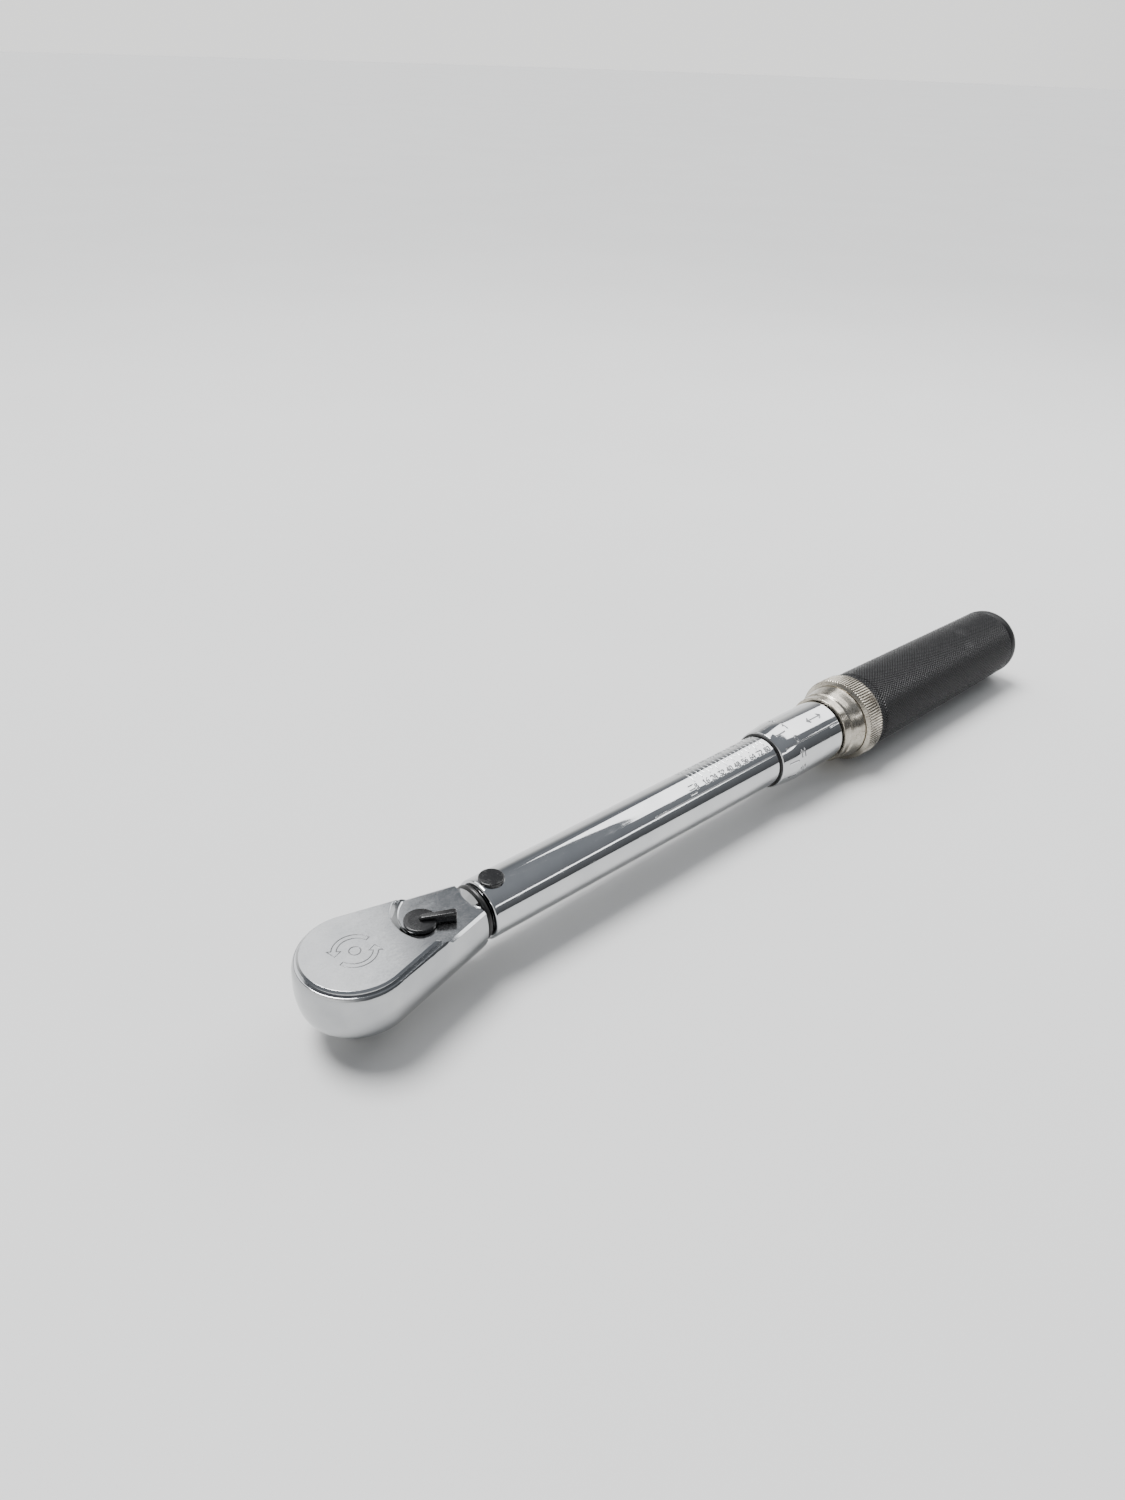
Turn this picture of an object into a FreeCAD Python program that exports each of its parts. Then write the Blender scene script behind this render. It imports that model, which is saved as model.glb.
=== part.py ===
import FreeCAD, Part
import math
import os

# Torque wrench, 3/8 in drive. Millimetres. The origin is the centre of the square drive's end
# face, +X runs from the head to the grip and +Z is up, out of the lever side of the head.

V = FreeCAD.Vector
X_AXIS = V(1, 0, 0)
Y_AXIS = V(0, 1, 0)
Z_AXIS = V(0, 0, 1)

# ---- main levels and stations ----------------------------------------------------------------
AXIS_Z = 19.0            # tube centreline above the end of the square drive
HEAD_BOTTOM = 10.8       # underside of the head
DECK_Z = 25.2            # lower rear deck that carries the lever
LEDGE_Z = 26.2           # foot of the raised front plate
PLATE_Z = 27.1           # top of the front plate's side wall
HEAD_TOP = 27.6          # flat top of the front plate
NECK_X = 38.3            # where the forging ends and the round neck starts
PIVOT_X = 46.4           # head pivot pin
CLEARANCE = 0.06         # radial running clearance of pins and shafts

# ---- head ------------------------------------------------------------------------------------
# outline of the forging at rising levels: height, front radius, side taper in degrees
BODY_SECTIONS = (
    (HEAD_BOTTOM, 15.6, 13.8),
    (13.5, 16.6, 13.0),
    (16.0, 17.0, 12.4),
    (19.0, 17.2, 12.3),
    (22.5, 17.1, 12.9),
    (25.2, 16.7, 14.0),
    (LEDGE_Z, 16.15, 14.3),
)
PLATE_RADIUS = 15.5
PLATE_TAPER = 14.5
PLATE_BEVEL = 0.65
PLATE_EDGE_R = 0.15      # small radii that polishing leaves on the forging's edges
BROW_EDGE_R = 0.25
STEP_FOOT_R = 0.6
SHOULDER_EDGE_R = 0.3
DECK_CHAMFER = 0.6
BOTTOM_EDGE_R = 1.0
STEP_LOW_X = 28.6        # centre and radius of the step's foot
STEP_LOW_R = 12.5
STEP_HIGH_X = 25.0       # centre and radius of the step's brow, taken above the plate
STEP_HIGH_R = 12.1
STEP_HIGH_Z = 28.4
NECK_R = 7.1
COLLAR_R = 8.3
COLLAR_X = 38.75
NECK_ROOT_X = 34.0
NECK_ROOT_R = 5.0
NECK_FLARE_X = 36.9
NECK_FLARE_R = 6.0
NECK_STEP_X = 51.0
NECK_END_X = 54.0
NECK_END_R = 5.6
SEAL_X = 39.75           # rubber ring round the neck
SEAL_MEAN_R = 7.85
SEAL_WIRE_R = 0.95
TAIL_START_X = 50.0
TAIL_HALF_W = 3.6
TAIL_HALF_H = 4.2
TAIL_END_X = 100.5
PAD_LENGTH = 7.0
PAD_HALF_W = 4.6
PAD_HALF_H = 3.4

# ---- ratchet ---------------------------------------------------------------------------------
SQUARE = 9.5             # across the flats
SQUARE_CORNER_R = 6.15
SQUARE_LEAD = 0.7        # chamfer at the end of the square, kept at 45 degrees
GEAR_TEETH = 36
GEAR_TIP_R = 10.0
GEAR_ROOT_R = 9.2
GEAR_Z0 = 13.2
GEAR_Z1 = 22.6
POCKET_R = 10.4
POCKET_Z0 = 12.8
POCKET_Z1 = 23.0
TOP_JOURNAL_R = 6.5
TOP_JOURNAL_Z = 25.6
LOW_JOURNAL_R = 7.6
LOW_JOURNAL_Z = 10.4
BALL_R = 1.6
BALL_PROUD = 0.5
BALL_Z = 5.4
BALL_HOLE_DEPTH = 7.6
DETENT_SPRING = (1.15, 0.22, 5)      # mean radius, wire radius, turns
TINY_WIRE_FACETS = 8     # sides of the detent and lever springs' wire

PAWL_PIVOT_X = 14.2
PAWL_ROCK = 5.0          # degrees either side of the middle
PAWL_OUTER_R = 12.4
PAWL_WEB_R = 10.9
PAWL_NOSE_R = 10.1
PAWL_BOSS_R = 2.7
PAWL_Z0 = 13.3
PAWL_Z1 = 22.4
PAWL_POCKET_R = 13.6
PAWL_POCKET_ANGLE = 55.0
PAWL_HALF_ANGLE = 46.0
PAWL_WEB_HALF_ANGLE = 27.0
TOOTH_CLEARANCE = 1.012  # how much larger the cut for the gear's teeth is
PAWL_PIN_R = 1.5

COVER_R = 14.0
COVER_TAPER = 15.5
COVER_END_X = 31.5
COVER_THICKNESS = 2.0
SCREW_R = 1.25
SCREW_HEAD_R = 2.0
SCREW_HEAD_DEPTH = 1.0
SCREW_LENGTH = 7.0
SCREW_SLOT_HALF_W = 0.3
SCREW_SLOT_DEPTH = 0.5
SCREW_PLACES = ((-7.7, 9.2), (-7.7, -9.2), (28.6, 0.0))

# ---- reversing lever -------------------------------------------------------------------------
LEVER_X = 21.2
LEVER_REST = -28.0       # direction of the thumb fin at rest, degrees from +X
HUB_R = 4.8
HUB_Z0 = 25.5
HUB_Z1 = 26.8
FIN_REACH = 10.4
FIN_START = -0.6
FIN_HALF_W = 1.3
FIN_Z0 = 25.7
FIN_Z1 = 28.5
STEM_R = 3.0
STEM_Z0 = 14.2
STEM_POCKET_R = 4.4
CLIP_Z0 = 22.1
CLIP_Z1 = 22.8
CLIP_R = 4.0
CLIP_GROOVE_R = 2.5
PLUNGER_PIN_R = 1.1
PLUNGER_PIN_Z = 18.0
PLUNGER_PIN_REACH = 3.95
PLUNGER_PIN_LENGTH = 2.6
PLUNGER_TIP_R = 0.5
PLUNGER_TIP_LENGTH = 0.7
LEVER_BORE_REACH = 1.9   # how far the plunger's bore runs past the lever's axis
LEVER_SPRING = (0.8, 0.16, 6)        # mean radius, wire radius, turns

# ---- tube and click mechanism ----------------------------------------------------------------
TUBE_R = 9.5
BORE_R = 7.7
TUBE_X0 = 41.3
TUBE_X1 = 280.0
PIN_R = 2.5
CAP_R = 3.93
CAP_FOOT = 8.35          # cap faces, measured from the tube centreline
CAP_FACE = 10.2
BLOCK = 6.0              # tilt block, square in plan
BLOCK_HEIGHT = 5.0
BLOCK_X = 99.65
SOCKET_GAP = 0.15
SOCKET_DEPTH = 1.0
SOCKET_FLARE = 0.5
PLUNGER_R = 7.62
PLUNGER_X0 = 104.8
PLUNGER_X1 = 116.0
SPRING_X1 = 196.0
SPRING_MEAN_R = 5.4
SPRING_WIRE_R = 1.45
SPRING_COILS = 12
SPRING_NOSE_R = 3.6      # spigots of the plunger and the seat inside the spring
SPRING_NOSE_LENGTH = 8.0
SEAT_LENGTH = 11.0
THRUST_BALL_R = 2.4
SCREW_ROD_R = 4.0
THREAD_PITCH = 2.5
THREAD_DEPTH = 0.6
THREAD_END_X = 300.0
NUT_X0 = 262.0
NUT_X1 = 278.0
NUT_PIN_X = 270.0
NUT_PIN_R = 1.5

# ---- handle ----------------------------------------------------------------------------------
THIMBLE_X0 = 170.4
THIMBLE_X1 = 203.6
THIMBLE_NOSE_R = 10.3
THIMBLE_R = 11.7
THIMBLE_BORE_R = 9.58
SLEEVE_R = 11.2
SLEEVE_X1 = 243.0
RING_X0 = 204.4
RING_X1 = 223.4
RING_TEETH = 96
RING_TIP_R = 16.1
RING_ROOT_R = 15.75
RING_CUP_R = 15.2
RING_SPRING_X = 211.0
RING_SPRING_BORE_R = 12.3
RING_MOUTH_R = 11.6      # bore over the lock balls
RING_RAMP_X = 208.6      # where the bore closes in to push the balls
RING_HUB_R = 12.7
RING_COVE = ((207.9, 12.7), (208.5, 13.2), (211.0, 13.6), (213.2, 14.1))
RING_GROOVE_X0 = 214.4
RING_GROOVE_X1 = 214.9
RING_FLANGE_R = 14.3
RING_GROOVE_R = 13.95
RING_BAND_X = 215.9
RING_CUP_X = 218.3
LOCK_SPRING = (11.78, 0.34, 5)       # mean radius, wire radius, turns
LOCK_BALL_X = 207.4
LOCK_BALL_R = 0.9
GRIP_X0 = 222.2
GRIP_X1 = 328.3
GRIP_FRONT_R = 14.85
GRIP_STEP_X = 227.4
GRIP_MAX_R = 15.25
GRIP_END_R = 14.15
GRIP_BORE_R = 10.0
GRIP_END_ROUNDING = 4.2  # length and height of the rounded end
GRIP_END_FALL = 2.95
END_CAP_X0 = 318.5
END_CAP_X1 = 327.6
END_CAP_R = 11.0
END_CAP_RECESS_R = 5.2   # sunk seat for the handle screw's head
ROD_X1 = 323.0
HANDLE_SCREW_R = 2.0
HANDLE_SCREW_HEAD_R = 4.6
HANDLE_SCREW_HEAD = 3.2
HEX_SOCKET_R = 1.7
HEX_SOCKET_FLOOR = 1.4


# ---- helpers ---------------------------------------------------------------------------------
def polar(radius, degrees, z=0.0):
    a = math.radians(degrees)
    return V(radius * math.cos(a), radius * math.sin(a), z)


def cyl_z(radius, z0, z1, x=0.0, y=0.0):
    return Part.makeCylinder(radius, z1 - z0, V(x, y, z0), Z_AXIS)


def cyl_x(radius, x0, x1):
    return Part.makeCylinder(radius, x1 - x0, V(x0, 0, AXIS_Z), X_AXIS)


def box(x0, x1, y0, y1, z0, z1):
    return Part.makeBox(x1 - x0, y1 - y0, z1 - z0, V(x0, y0, z0))


def prism(points, z0, z1):
    """Upright prism on a closed plan given as (x, y) pairs."""
    corners = [V(x, y, z0) for x, y in points]
    wire = Part.makePolygon(corners + corners[:1])
    return Part.Face(wire).extrude(V(0, 0, z1 - z0))


def turned(profile):
    """Solid of revolution about the tube centreline from (x, radius) pairs."""
    corners = [V(x, 0, AXIS_Z + r) for x, r in profile]
    wire = Part.makePolygon(corners + corners[:1])
    return Part.Face(wire).revolve(V(0, 0, AXIS_Z), X_AXIS, 360)


def sector(radius, half_angle, z0, z1):
    """Pie slice about the drive axis, open towards +X."""
    arc = Part.Arc(polar(radius, -half_angle, z0), V(radius, 0, z0), polar(radius, half_angle, z0))
    centre = V(0, 0, z0)
    sides = [
        Part.makeLine(centre, polar(radius, -half_angle, z0)),
        arc.toShape(),
        Part.makeLine(polar(radius, half_angle, z0), centre),
    ]
    return Part.Face(Part.Wire(sides)).extrude(V(0, 0, z1 - z0))


def coil(mean_r, wire_r, length, turns, facets=0):
    """Helical spring standing on +Z from the origin; a tiny wire may be faceted instead of round."""
    path = Part.makeHelix((length - 2 * wire_r) / turns, length - 2 * wire_r, mean_r)
    path.translate(V(0, 0, wire_r))
    centre = V(mean_r, 0, wire_r)
    if facets:
        spokes = [polar(wire_r, k * 360.0 / facets) for k in range(facets)]
        corners = [centre + V(p.x, 0, p.y) for p in spokes]
        section = Part.makePolygon(corners + corners[:1])
    else:
        section = Part.Wire([Part.makeCircle(wire_r, centre, Y_AXIS)])
    return Part.Wire(path.Edges).makePipeShell([section], True, True)


def teardrop(radius, taper, x_end, z):
    """Outline with a front arc about the drive axis and straight sides that close in to x_end."""
    t = math.radians(taper)
    tangent_x = radius * math.sin(t)
    tangent_y = radius * math.cos(t)
    half = (radius - x_end * math.sin(t)) / math.cos(t)
    near = V(tangent_x, -tangent_y, z)
    far = V(tangent_x, tangent_y, z)
    near_end = V(x_end, -half, z)
    far_end = V(x_end, half, z)
    return Part.Wire([
        Part.Arc(far, V(-radius, 0, z), near).toShape(),
        Part.makeLine(near, near_end),
        Part.makeLine(near_end, far_end),
        Part.makeLine(far_end, far),
    ])


def slab(wire, height):
    return Part.Face(wire).extrude(V(0, 0, height))


def step_outline(x, radius, z):
    """Plan of the deck cut: round towards the head's front, straight towards the tube."""
    far = V(x, radius, z)
    near = V(x, -radius, z)
    far_end = V(NECK_X + 6, radius, z)
    near_end = V(NECK_X + 6, -radius, z)
    return Part.Wire([
        Part.Arc(far, V(x - radius, 0, z), near).toShape(),
        Part.makeLine(near, near_end),
        Part.makeLine(near_end, far_end),
        Part.makeLine(far_end, far),
    ])


def level_edges(shape, z, x_low, x_high, kind=""):
    """Edges lying flat at height z whose middle is between two x stations, of one curve kind if given."""
    found = []
    for edge in shape.Edges:
        extent = edge.BoundBox
        flat = abs(extent.ZMin - z) < 0.01 and abs(extent.ZMax - z) < 0.01
        if flat and x_low < extent.Center.x < x_high and kind in edge.Curve.TypeId:
            found.append(edge)
    return found


def turned_about_z(shape, x, degrees):
    moved = shape.copy()
    moved.rotate(V(x, 0, 0), Z_AXIS, degrees)
    return moved


# ---- head group ------------------------------------------------------------------------------
def forging():
    """Bulged teardrop with the raised front plate and the lower deck behind it."""
    wires = [teardrop(r, taper, NECK_X, z) for z, r, taper in BODY_SECTIONS]
    body = Part.makeLoft(wires, True, False)
    plate_foot = teardrop(PLATE_RADIUS, PLATE_TAPER, NECK_X, LEDGE_Z - 0.4)
    plate_brow = teardrop(PLATE_RADIUS, PLATE_TAPER, NECK_X, PLATE_Z)
    plate_top = teardrop(PLATE_RADIUS - PLATE_BEVEL, PLATE_TAPER, NECK_X, HEAD_TOP)
    body = body.fuse(slab(plate_foot, PLATE_Z - LEDGE_Z + 0.4))
    body = body.fuse(Part.makeLoft([plate_brow, plate_top], True, True))
    deck_cut = Part.makeLoft([
        step_outline(STEP_LOW_X, STEP_LOW_R, DECK_Z),
        step_outline(STEP_HIGH_X, STEP_HIGH_R, STEP_HIGH_Z),
    ], True, True)
    return softened(body.cut(deck_cut))


def softened(body):
    """Rounds and chamfers the forging's long edges, one level at a time."""
    step_x = STEP_LOW_X - STEP_LOW_R
    behind_step = STEP_LOW_X - 1
    body = body.makeChamfer(DECK_CHAMFER, level_edges(body, DECK_Z, behind_step, NECK_X - 1))
    body = body.makeFillet(STEP_FOOT_R, level_edges(body, DECK_Z, step_x, behind_step - 2))
    body = body.makeFillet(BROW_EDGE_R, level_edges(body, HEAD_TOP, step_x - 2, step_x + 2))
    body = body.makeFillet(PLATE_EDGE_R, level_edges(body, HEAD_TOP, -PLATE_RADIUS, step_x - 3))
    body = body.makeFillet(SHOULDER_EDGE_R, level_edges(body, LEDGE_Z, -PLATE_RADIUS, step_x, "BSpline"))
    return body.makeFillet(BOTTOM_EDGE_R, level_edges(body, HEAD_BOTTOM, -PLATE_RADIUS, NECK_X - 1))


def neck():
    """Round neck, flared shoulder and the part of the tongue that fills the tube's mouth."""
    return turned([
        (NECK_ROOT_X, 0), (NECK_ROOT_X, NECK_ROOT_R), (NECK_FLARE_X, NECK_FLARE_R),
        (COLLAR_X - 0.3, COLLAR_R - 0.1), (COLLAR_X, COLLAR_R - 0.4), (COLLAR_X, NECK_R),
        (NECK_STEP_X, NECK_R), (NECK_END_X, NECK_END_R), (NECK_END_X, 0),
    ])


def socket_cut(x_floor, direction):
    """Flared shallow pocket that holds one end of the tilt block."""
    half = BLOCK / 2 + SOCKET_GAP
    mouth = x_floor + direction * (SOCKET_DEPTH + 0.5)
    wide = half + SOCKET_FLARE * 1.5
    plan = [(x_floor, -half), (mouth, -wide), (mouth, wide), (x_floor, half)]
    half_h = BLOCK_HEIGHT / 2 + SOCKET_GAP
    return prism(plan, AXIS_Z - half_h, AXIS_Z + half_h)


def tail():
    """Lever arm inside the tube, ending in the pad that bears on the tilt block."""
    arm = box(TAIL_START_X, TAIL_END_X - 1, -TAIL_HALF_W, TAIL_HALF_W,
              AXIS_Z - TAIL_HALF_H, AXIS_Z + TAIL_HALF_H)
    pad = box(TAIL_END_X - PAD_LENGTH, TAIL_END_X, -PAD_HALF_W, PAD_HALF_W,
              AXIS_Z - PAD_HALF_H, AXIS_Z + PAD_HALF_H)
    return arm.fuse(pad).cut(socket_cut(TAIL_END_X - SOCKET_DEPTH, 1))


def ratchet_pockets():
    """Everything that is bored or milled into the head from below."""
    gear = cyl_z(POCKET_R, HEAD_BOTTOM - 1, POCKET_Z1)
    journal = cyl_z(TOP_JOURNAL_R + CLEARANCE, POCKET_Z1 - 1, TOP_JOURNAL_Z + 0.2)
    pawl = sector(PAWL_POCKET_R, PAWL_POCKET_ANGLE, HEAD_BOTTOM - 1, POCKET_Z1)
    boss = cyl_z(PAWL_BOSS_R + 0.6, HEAD_BOTTOM - 1, POCKET_Z1, PAWL_PIVOT_X)
    stem = cyl_z(STEM_POCKET_R, HEAD_BOTTOM - 1, POCKET_Z1, LEVER_X)
    link = box(PAWL_PIVOT_X, LEVER_X, -PAWL_BOSS_R - 0.6, PAWL_BOSS_R + 0.6, HEAD_BOTTOM - 1, POCKET_Z1)
    stem_hole = cyl_z(STEM_R + CLEARANCE, POCKET_Z1 - 1, DECK_Z + 1, LEVER_X)
    pin_hole = cyl_z(PAWL_PIN_R, POCKET_Z1 - 1, POCKET_Z1 + 1.6, PAWL_PIVOT_X)
    cover = slab(teardrop(COVER_R, COVER_TAPER, COVER_END_X, HEAD_BOTTOM - 1), COVER_THICKNESS + 1)
    cuts = [journal, pawl, boss, stem, link, stem_hole, pin_hole, cover]
    for x, y in SCREW_PLACES:
        cuts.append(cyl_z(SCREW_R, HEAD_BOTTOM, HEAD_BOTTOM + SCREW_LENGTH + 0.5, x, y))
    return gear.multiFuse(cuts)


def seal_torus():
    return Part.makeTorus(SEAL_MEAN_R, SEAL_WIRE_R, V(SEAL_X, 0, AXIS_Z), X_AXIS)


def head():
    body = forging().multiFuse([neck(), tail()])
    body = body.cut(ratchet_pockets())
    body = body.cut(cyl_z(PIN_R + CLEARANCE, 5, 33, PIVOT_X))
    return body.cut(seal_torus()).removeSplitter()


def cover_plate():
    plate = slab(teardrop(COVER_R - 0.05, COVER_TAPER, COVER_END_X - 0.05, HEAD_BOTTOM), COVER_THICKNESS)
    below = HEAD_BOTTOM - 1
    above = HEAD_BOTTOM + COVER_THICKNESS + 1
    cuts = [cyl_z(LOW_JOURNAL_R + CLEARANCE, below, above), cyl_z(PAWL_PIN_R, below, above, PAWL_PIVOT_X)]
    for x, y in SCREW_PLACES:
        cuts.append(cyl_z(SCREW_R, below, above, x, y))
        cuts.append(Part.makeCone(SCREW_HEAD_R, SCREW_R, SCREW_HEAD_DEPTH, V(x, y, HEAD_BOTTOM), Z_AXIS))
    return plate.cut(cuts[0].multiFuse(cuts[1:]))


def cover_screws():
    screws = []
    for x, y in SCREW_PLACES:
        shank = cyl_z(SCREW_R, HEAD_BOTTOM + 0.5, HEAD_BOTTOM + SCREW_LENGTH, x, y)
        countersunk = Part.makeCone(SCREW_HEAD_R, SCREW_R, SCREW_HEAD_DEPTH, V(x, y, HEAD_BOTTOM), Z_AXIS)
        slot = box(x - 3, x + 3, y - SCREW_SLOT_HALF_W, y + SCREW_SLOT_HALF_W,
                   HEAD_BOTTOM - 1, HEAD_BOTTOM + SCREW_SLOT_DEPTH)
        screws.append(shank.fuse(countersunk).cut(slot).removeSplitter())
    return Part.makeCompound(screws)


def pawl_pin():
    return cyl_z(PAWL_PIN_R, HEAD_BOTTOM + 0.2, POCKET_Z1 + 1.4, PAWL_PIVOT_X)


# ---- drive gear ------------------------------------------------------------------------------
def gear_prism(scale, z0, z1):
    """Ratchet teeth as a prism; scale above 1 leaves a clearance around them."""
    points = []
    step = 360.0 / GEAR_TEETH
    for tooth in range(GEAR_TEETH):
        middle = (tooth + 0.5) * step
        for radius, angle in (
            (GEAR_TIP_R, middle - 0.8), (GEAR_TIP_R, middle + 0.8),
            (GEAR_ROOT_R, middle + step / 2 - 0.8), (GEAR_ROOT_R, middle + step / 2 + 0.8),
        ):
            p = polar(radius * scale, angle)
            points.append((p.x, p.y))
    return prism(points, z0, z1)


def drive_gear():
    half = SQUARE / 2
    length = LOW_JOURNAL_Z + 1
    square = box(-half, half, -half, half, 0, length)
    square = square.common(cyl_z(SQUARE_CORNER_R, 0, length))
    nose_r = SQUARE_CORNER_R - SQUARE_LEAD
    nose = Part.makeCone(nose_r, nose_r + length, length, V(0, 0, 0), Z_AXIS)
    square = square.common(nose)
    gear = gear_prism(1.0, GEAR_Z0, GEAR_Z1)
    low = cyl_z(LOW_JOURNAL_R, LOW_JOURNAL_Z, GEAR_Z0 + 1)
    top = cyl_z(TOP_JOURNAL_R, GEAR_Z1 - 1, TOP_JOURNAL_Z)
    body = gear.multiFuse([square, low, top])
    face_y = -half
    hole = Part.makeCylinder(BALL_R + 0.04, BALL_HOLE_DEPTH + 1, V(0, face_y - 1, BALL_Z), Y_AXIS)
    return body.cut(hole).removeSplitter()


def detent_ball():
    return Part.makeSphere(BALL_R, V(0, -SQUARE / 2 - BALL_PROUD + BALL_R, BALL_Z))


def detent_spring():
    floor_y = -SQUARE / 2 + BALL_HOLE_DEPTH
    start_y = -SQUARE / 2 - BALL_PROUD + 2 * BALL_R + 0.05
    mean_r, wire_r, turns = DETENT_SPRING
    spring = coil(mean_r, wire_r, floor_y - start_y - 0.02, turns, TINY_WIRE_FACETS)
    spring.rotate(V(0, 0, 0), X_AXIS, -90)
    spring.translate(V(0, start_y, BALL_Z))
    return spring


# ---- pawl and lever --------------------------------------------------------------------------
def pawl():
    """Two-ended rocking pawl, stored with its +Y nose in the gear."""
    ring = sector(PAWL_OUTER_R, PAWL_HALF_ANGLE, PAWL_Z0, PAWL_Z1).cut(cyl_z(PAWL_NOSE_R, PAWL_Z0, PAWL_Z1))
    web = sector(PAWL_WEB_R, PAWL_WEB_HALF_ANGLE, PAWL_Z0, PAWL_Z1)
    body = ring.cut(web).fuse(cyl_z(PAWL_BOSS_R, PAWL_Z0, PAWL_Z1, PAWL_PIVOT_X))
    body = body.cut(cyl_z(PAWL_PIN_R + CLEARANCE, PAWL_Z0, PAWL_Z1, PAWL_PIVOT_X))
    teeth = gear_prism(TOOTH_CLEARANCE, PAWL_Z0, PAWL_Z1)
    body = turned_about_z(body, PAWL_PIVOT_X, -PAWL_ROCK).cut(teeth)
    return turned_about_z(body, PAWL_PIVOT_X, 2 * PAWL_ROCK).cut(teeth).removeSplitter()


def fin_plan(half_width, start, reach, z):
    """Thumb fin seen from above, lying along +X with rounded ends."""
    x0 = LEVER_X + start + half_width
    x1 = LEVER_X + reach - half_width
    return Part.Wire([
        Part.makeLine(V(x0, -half_width, z), V(x1, -half_width, z)),
        Part.Arc(V(x1, -half_width, z), V(x1 + half_width, 0, z), V(x1, half_width, z)).toShape(),
        Part.makeLine(V(x1, half_width, z), V(x0, half_width, z)),
        Part.Arc(V(x0, half_width, z), V(x0 - half_width, 0, z), V(x0, -half_width, z)).toShape(),
    ])


def reversing_lever():
    hub = cyl_z(HUB_R, HUB_Z0, HUB_Z1, LEVER_X)
    rim = [e for e in hub.Edges if e.Curve.TypeId == "Part::GeomCircle" and e.Vertexes[0].Z > HUB_Z1 - 0.1]
    hub = hub.makeChamfer(0.35, rim)
    fin = Part.makeLoft([
        fin_plan(FIN_HALF_W, FIN_START, FIN_REACH, FIN_Z0),
        fin_plan(FIN_HALF_W - 0.1, FIN_START, FIN_REACH, FIN_Z1 - 0.4),
        fin_plan(FIN_HALF_W - 0.4, FIN_START + 0.2, FIN_REACH - 0.3, FIN_Z1),
    ], True, True)
    stem = cyl_z(STEM_R, STEM_Z0, HUB_Z0 + 0.5, LEVER_X)
    body = hub.multiFuse([fin, stem])
    groove = cyl_z(STEM_R + 1, CLIP_Z0, CLIP_Z1, LEVER_X)
    groove = groove.cut(cyl_z(CLIP_GROOVE_R, CLIP_Z0, CLIP_Z1, LEVER_X))
    bore_floor = LEVER_X + LEVER_BORE_REACH
    bore = Part.makeCylinder(PLUNGER_PIN_R + 0.05, 8, V(bore_floor - 8, 0, PLUNGER_PIN_Z), X_AXIS)
    body = body.cut(groove).cut(bore).removeSplitter()
    return turned_about_z(body, LEVER_X, LEVER_REST)


def lever_clip():
    ring = cyl_z(CLIP_R, CLIP_Z0 + 0.05, CLIP_Z1 - 0.05, LEVER_X)
    ring = ring.cut(cyl_z(CLIP_GROOVE_R + 0.02, CLIP_Z0, CLIP_Z1, LEVER_X))
    mouth = box(LEVER_X, LEVER_X + 6, -1.9, 1.9, CLIP_Z0 - 1, CLIP_Z1 + 1)
    return turned_about_z(ring.cut(mouth), LEVER_X, LEVER_REST)


def lever_plunger():
    tip_x = LEVER_X - PLUNGER_PIN_REACH
    end_x = tip_x + PLUNGER_PIN_LENGTH
    rod_x = tip_x + PLUNGER_TIP_LENGTH
    rod = Part.makeCylinder(PLUNGER_PIN_R, end_x - rod_x, V(rod_x, 0, PLUNGER_PIN_Z), X_AXIS)
    tip = Part.makeCone(PLUNGER_TIP_R, PLUNGER_PIN_R, PLUNGER_TIP_LENGTH,
                        V(tip_x, 0, PLUNGER_PIN_Z), X_AXIS)
    return turned_about_z(rod.fuse(tip).removeSplitter(), LEVER_X, LEVER_REST)


def lever_spring():
    start_x = LEVER_X - PLUNGER_PIN_REACH + PLUNGER_PIN_LENGTH + 0.03
    mean_r, wire_r, turns = LEVER_SPRING
    length = LEVER_X + LEVER_BORE_REACH - 0.03 - start_x
    spring = coil(mean_r, wire_r, length, turns, TINY_WIRE_FACETS)
    spring.rotate(V(0, 0, 0), Y_AXIS, 90)
    spring.translate(V(start_x, 0, PLUNGER_PIN_Z))
    return turned_about_z(spring, LEVER_X, LEVER_REST)


# ---- tube group ------------------------------------------------------------------------------
def nut_pin_bore():
    reach = TUBE_R + 2
    return Part.makeCylinder(NUT_PIN_R, 2 * reach, V(NUT_PIN_X, -reach, AXIS_Z), Y_AXIS)


def tube():
    shell = turned([
        (TUBE_X0, BORE_R), (TUBE_X0, TUBE_R - 0.9), (TUBE_X0 + 0.35, TUBE_R - 0.35),
        (TUBE_X0 + 0.9, TUBE_R), (TUBE_X1 - 0.6, TUBE_R), (TUBE_X1, TUBE_R - 0.6), (TUBE_X1, BORE_R),
    ])
    outside = TUBE_R + 2
    cuts = [
        cyl_z(PIN_R, AXIS_Z - outside, AXIS_Z + outside, PIVOT_X),
        cyl_z(CAP_R, AXIS_Z + CAP_FOOT, AXIS_Z + outside, PIVOT_X),
        cyl_z(CAP_R, AXIS_Z - outside, AXIS_Z - CAP_FOOT, PIVOT_X),
        nut_pin_bore(),
    ]
    return shell.cut(cuts[0].multiFuse(cuts[1:]))


def pivot_pin():
    return cyl_z(PIN_R, AXIS_Z - CAP_FOOT, AXIS_Z + CAP_FOOT, PIVOT_X)


def pin_caps():
    caps = []
    for sign in (1, -1):
        cap = Part.makeCylinder(CAP_R, CAP_FACE - CAP_FOOT - 0.3, V(PIVOT_X, 0, AXIS_Z + sign * CAP_FOOT),
                                V(0, 0, sign))
        brow = Part.makeCone(CAP_R, CAP_R - 0.3, 0.3, V(PIVOT_X, 0, AXIS_Z + sign * (CAP_FACE - 0.3)),
                             V(0, 0, sign))
        caps.append(cap.fuse(brow).removeSplitter())
    return Part.makeCompound(caps)


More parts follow.
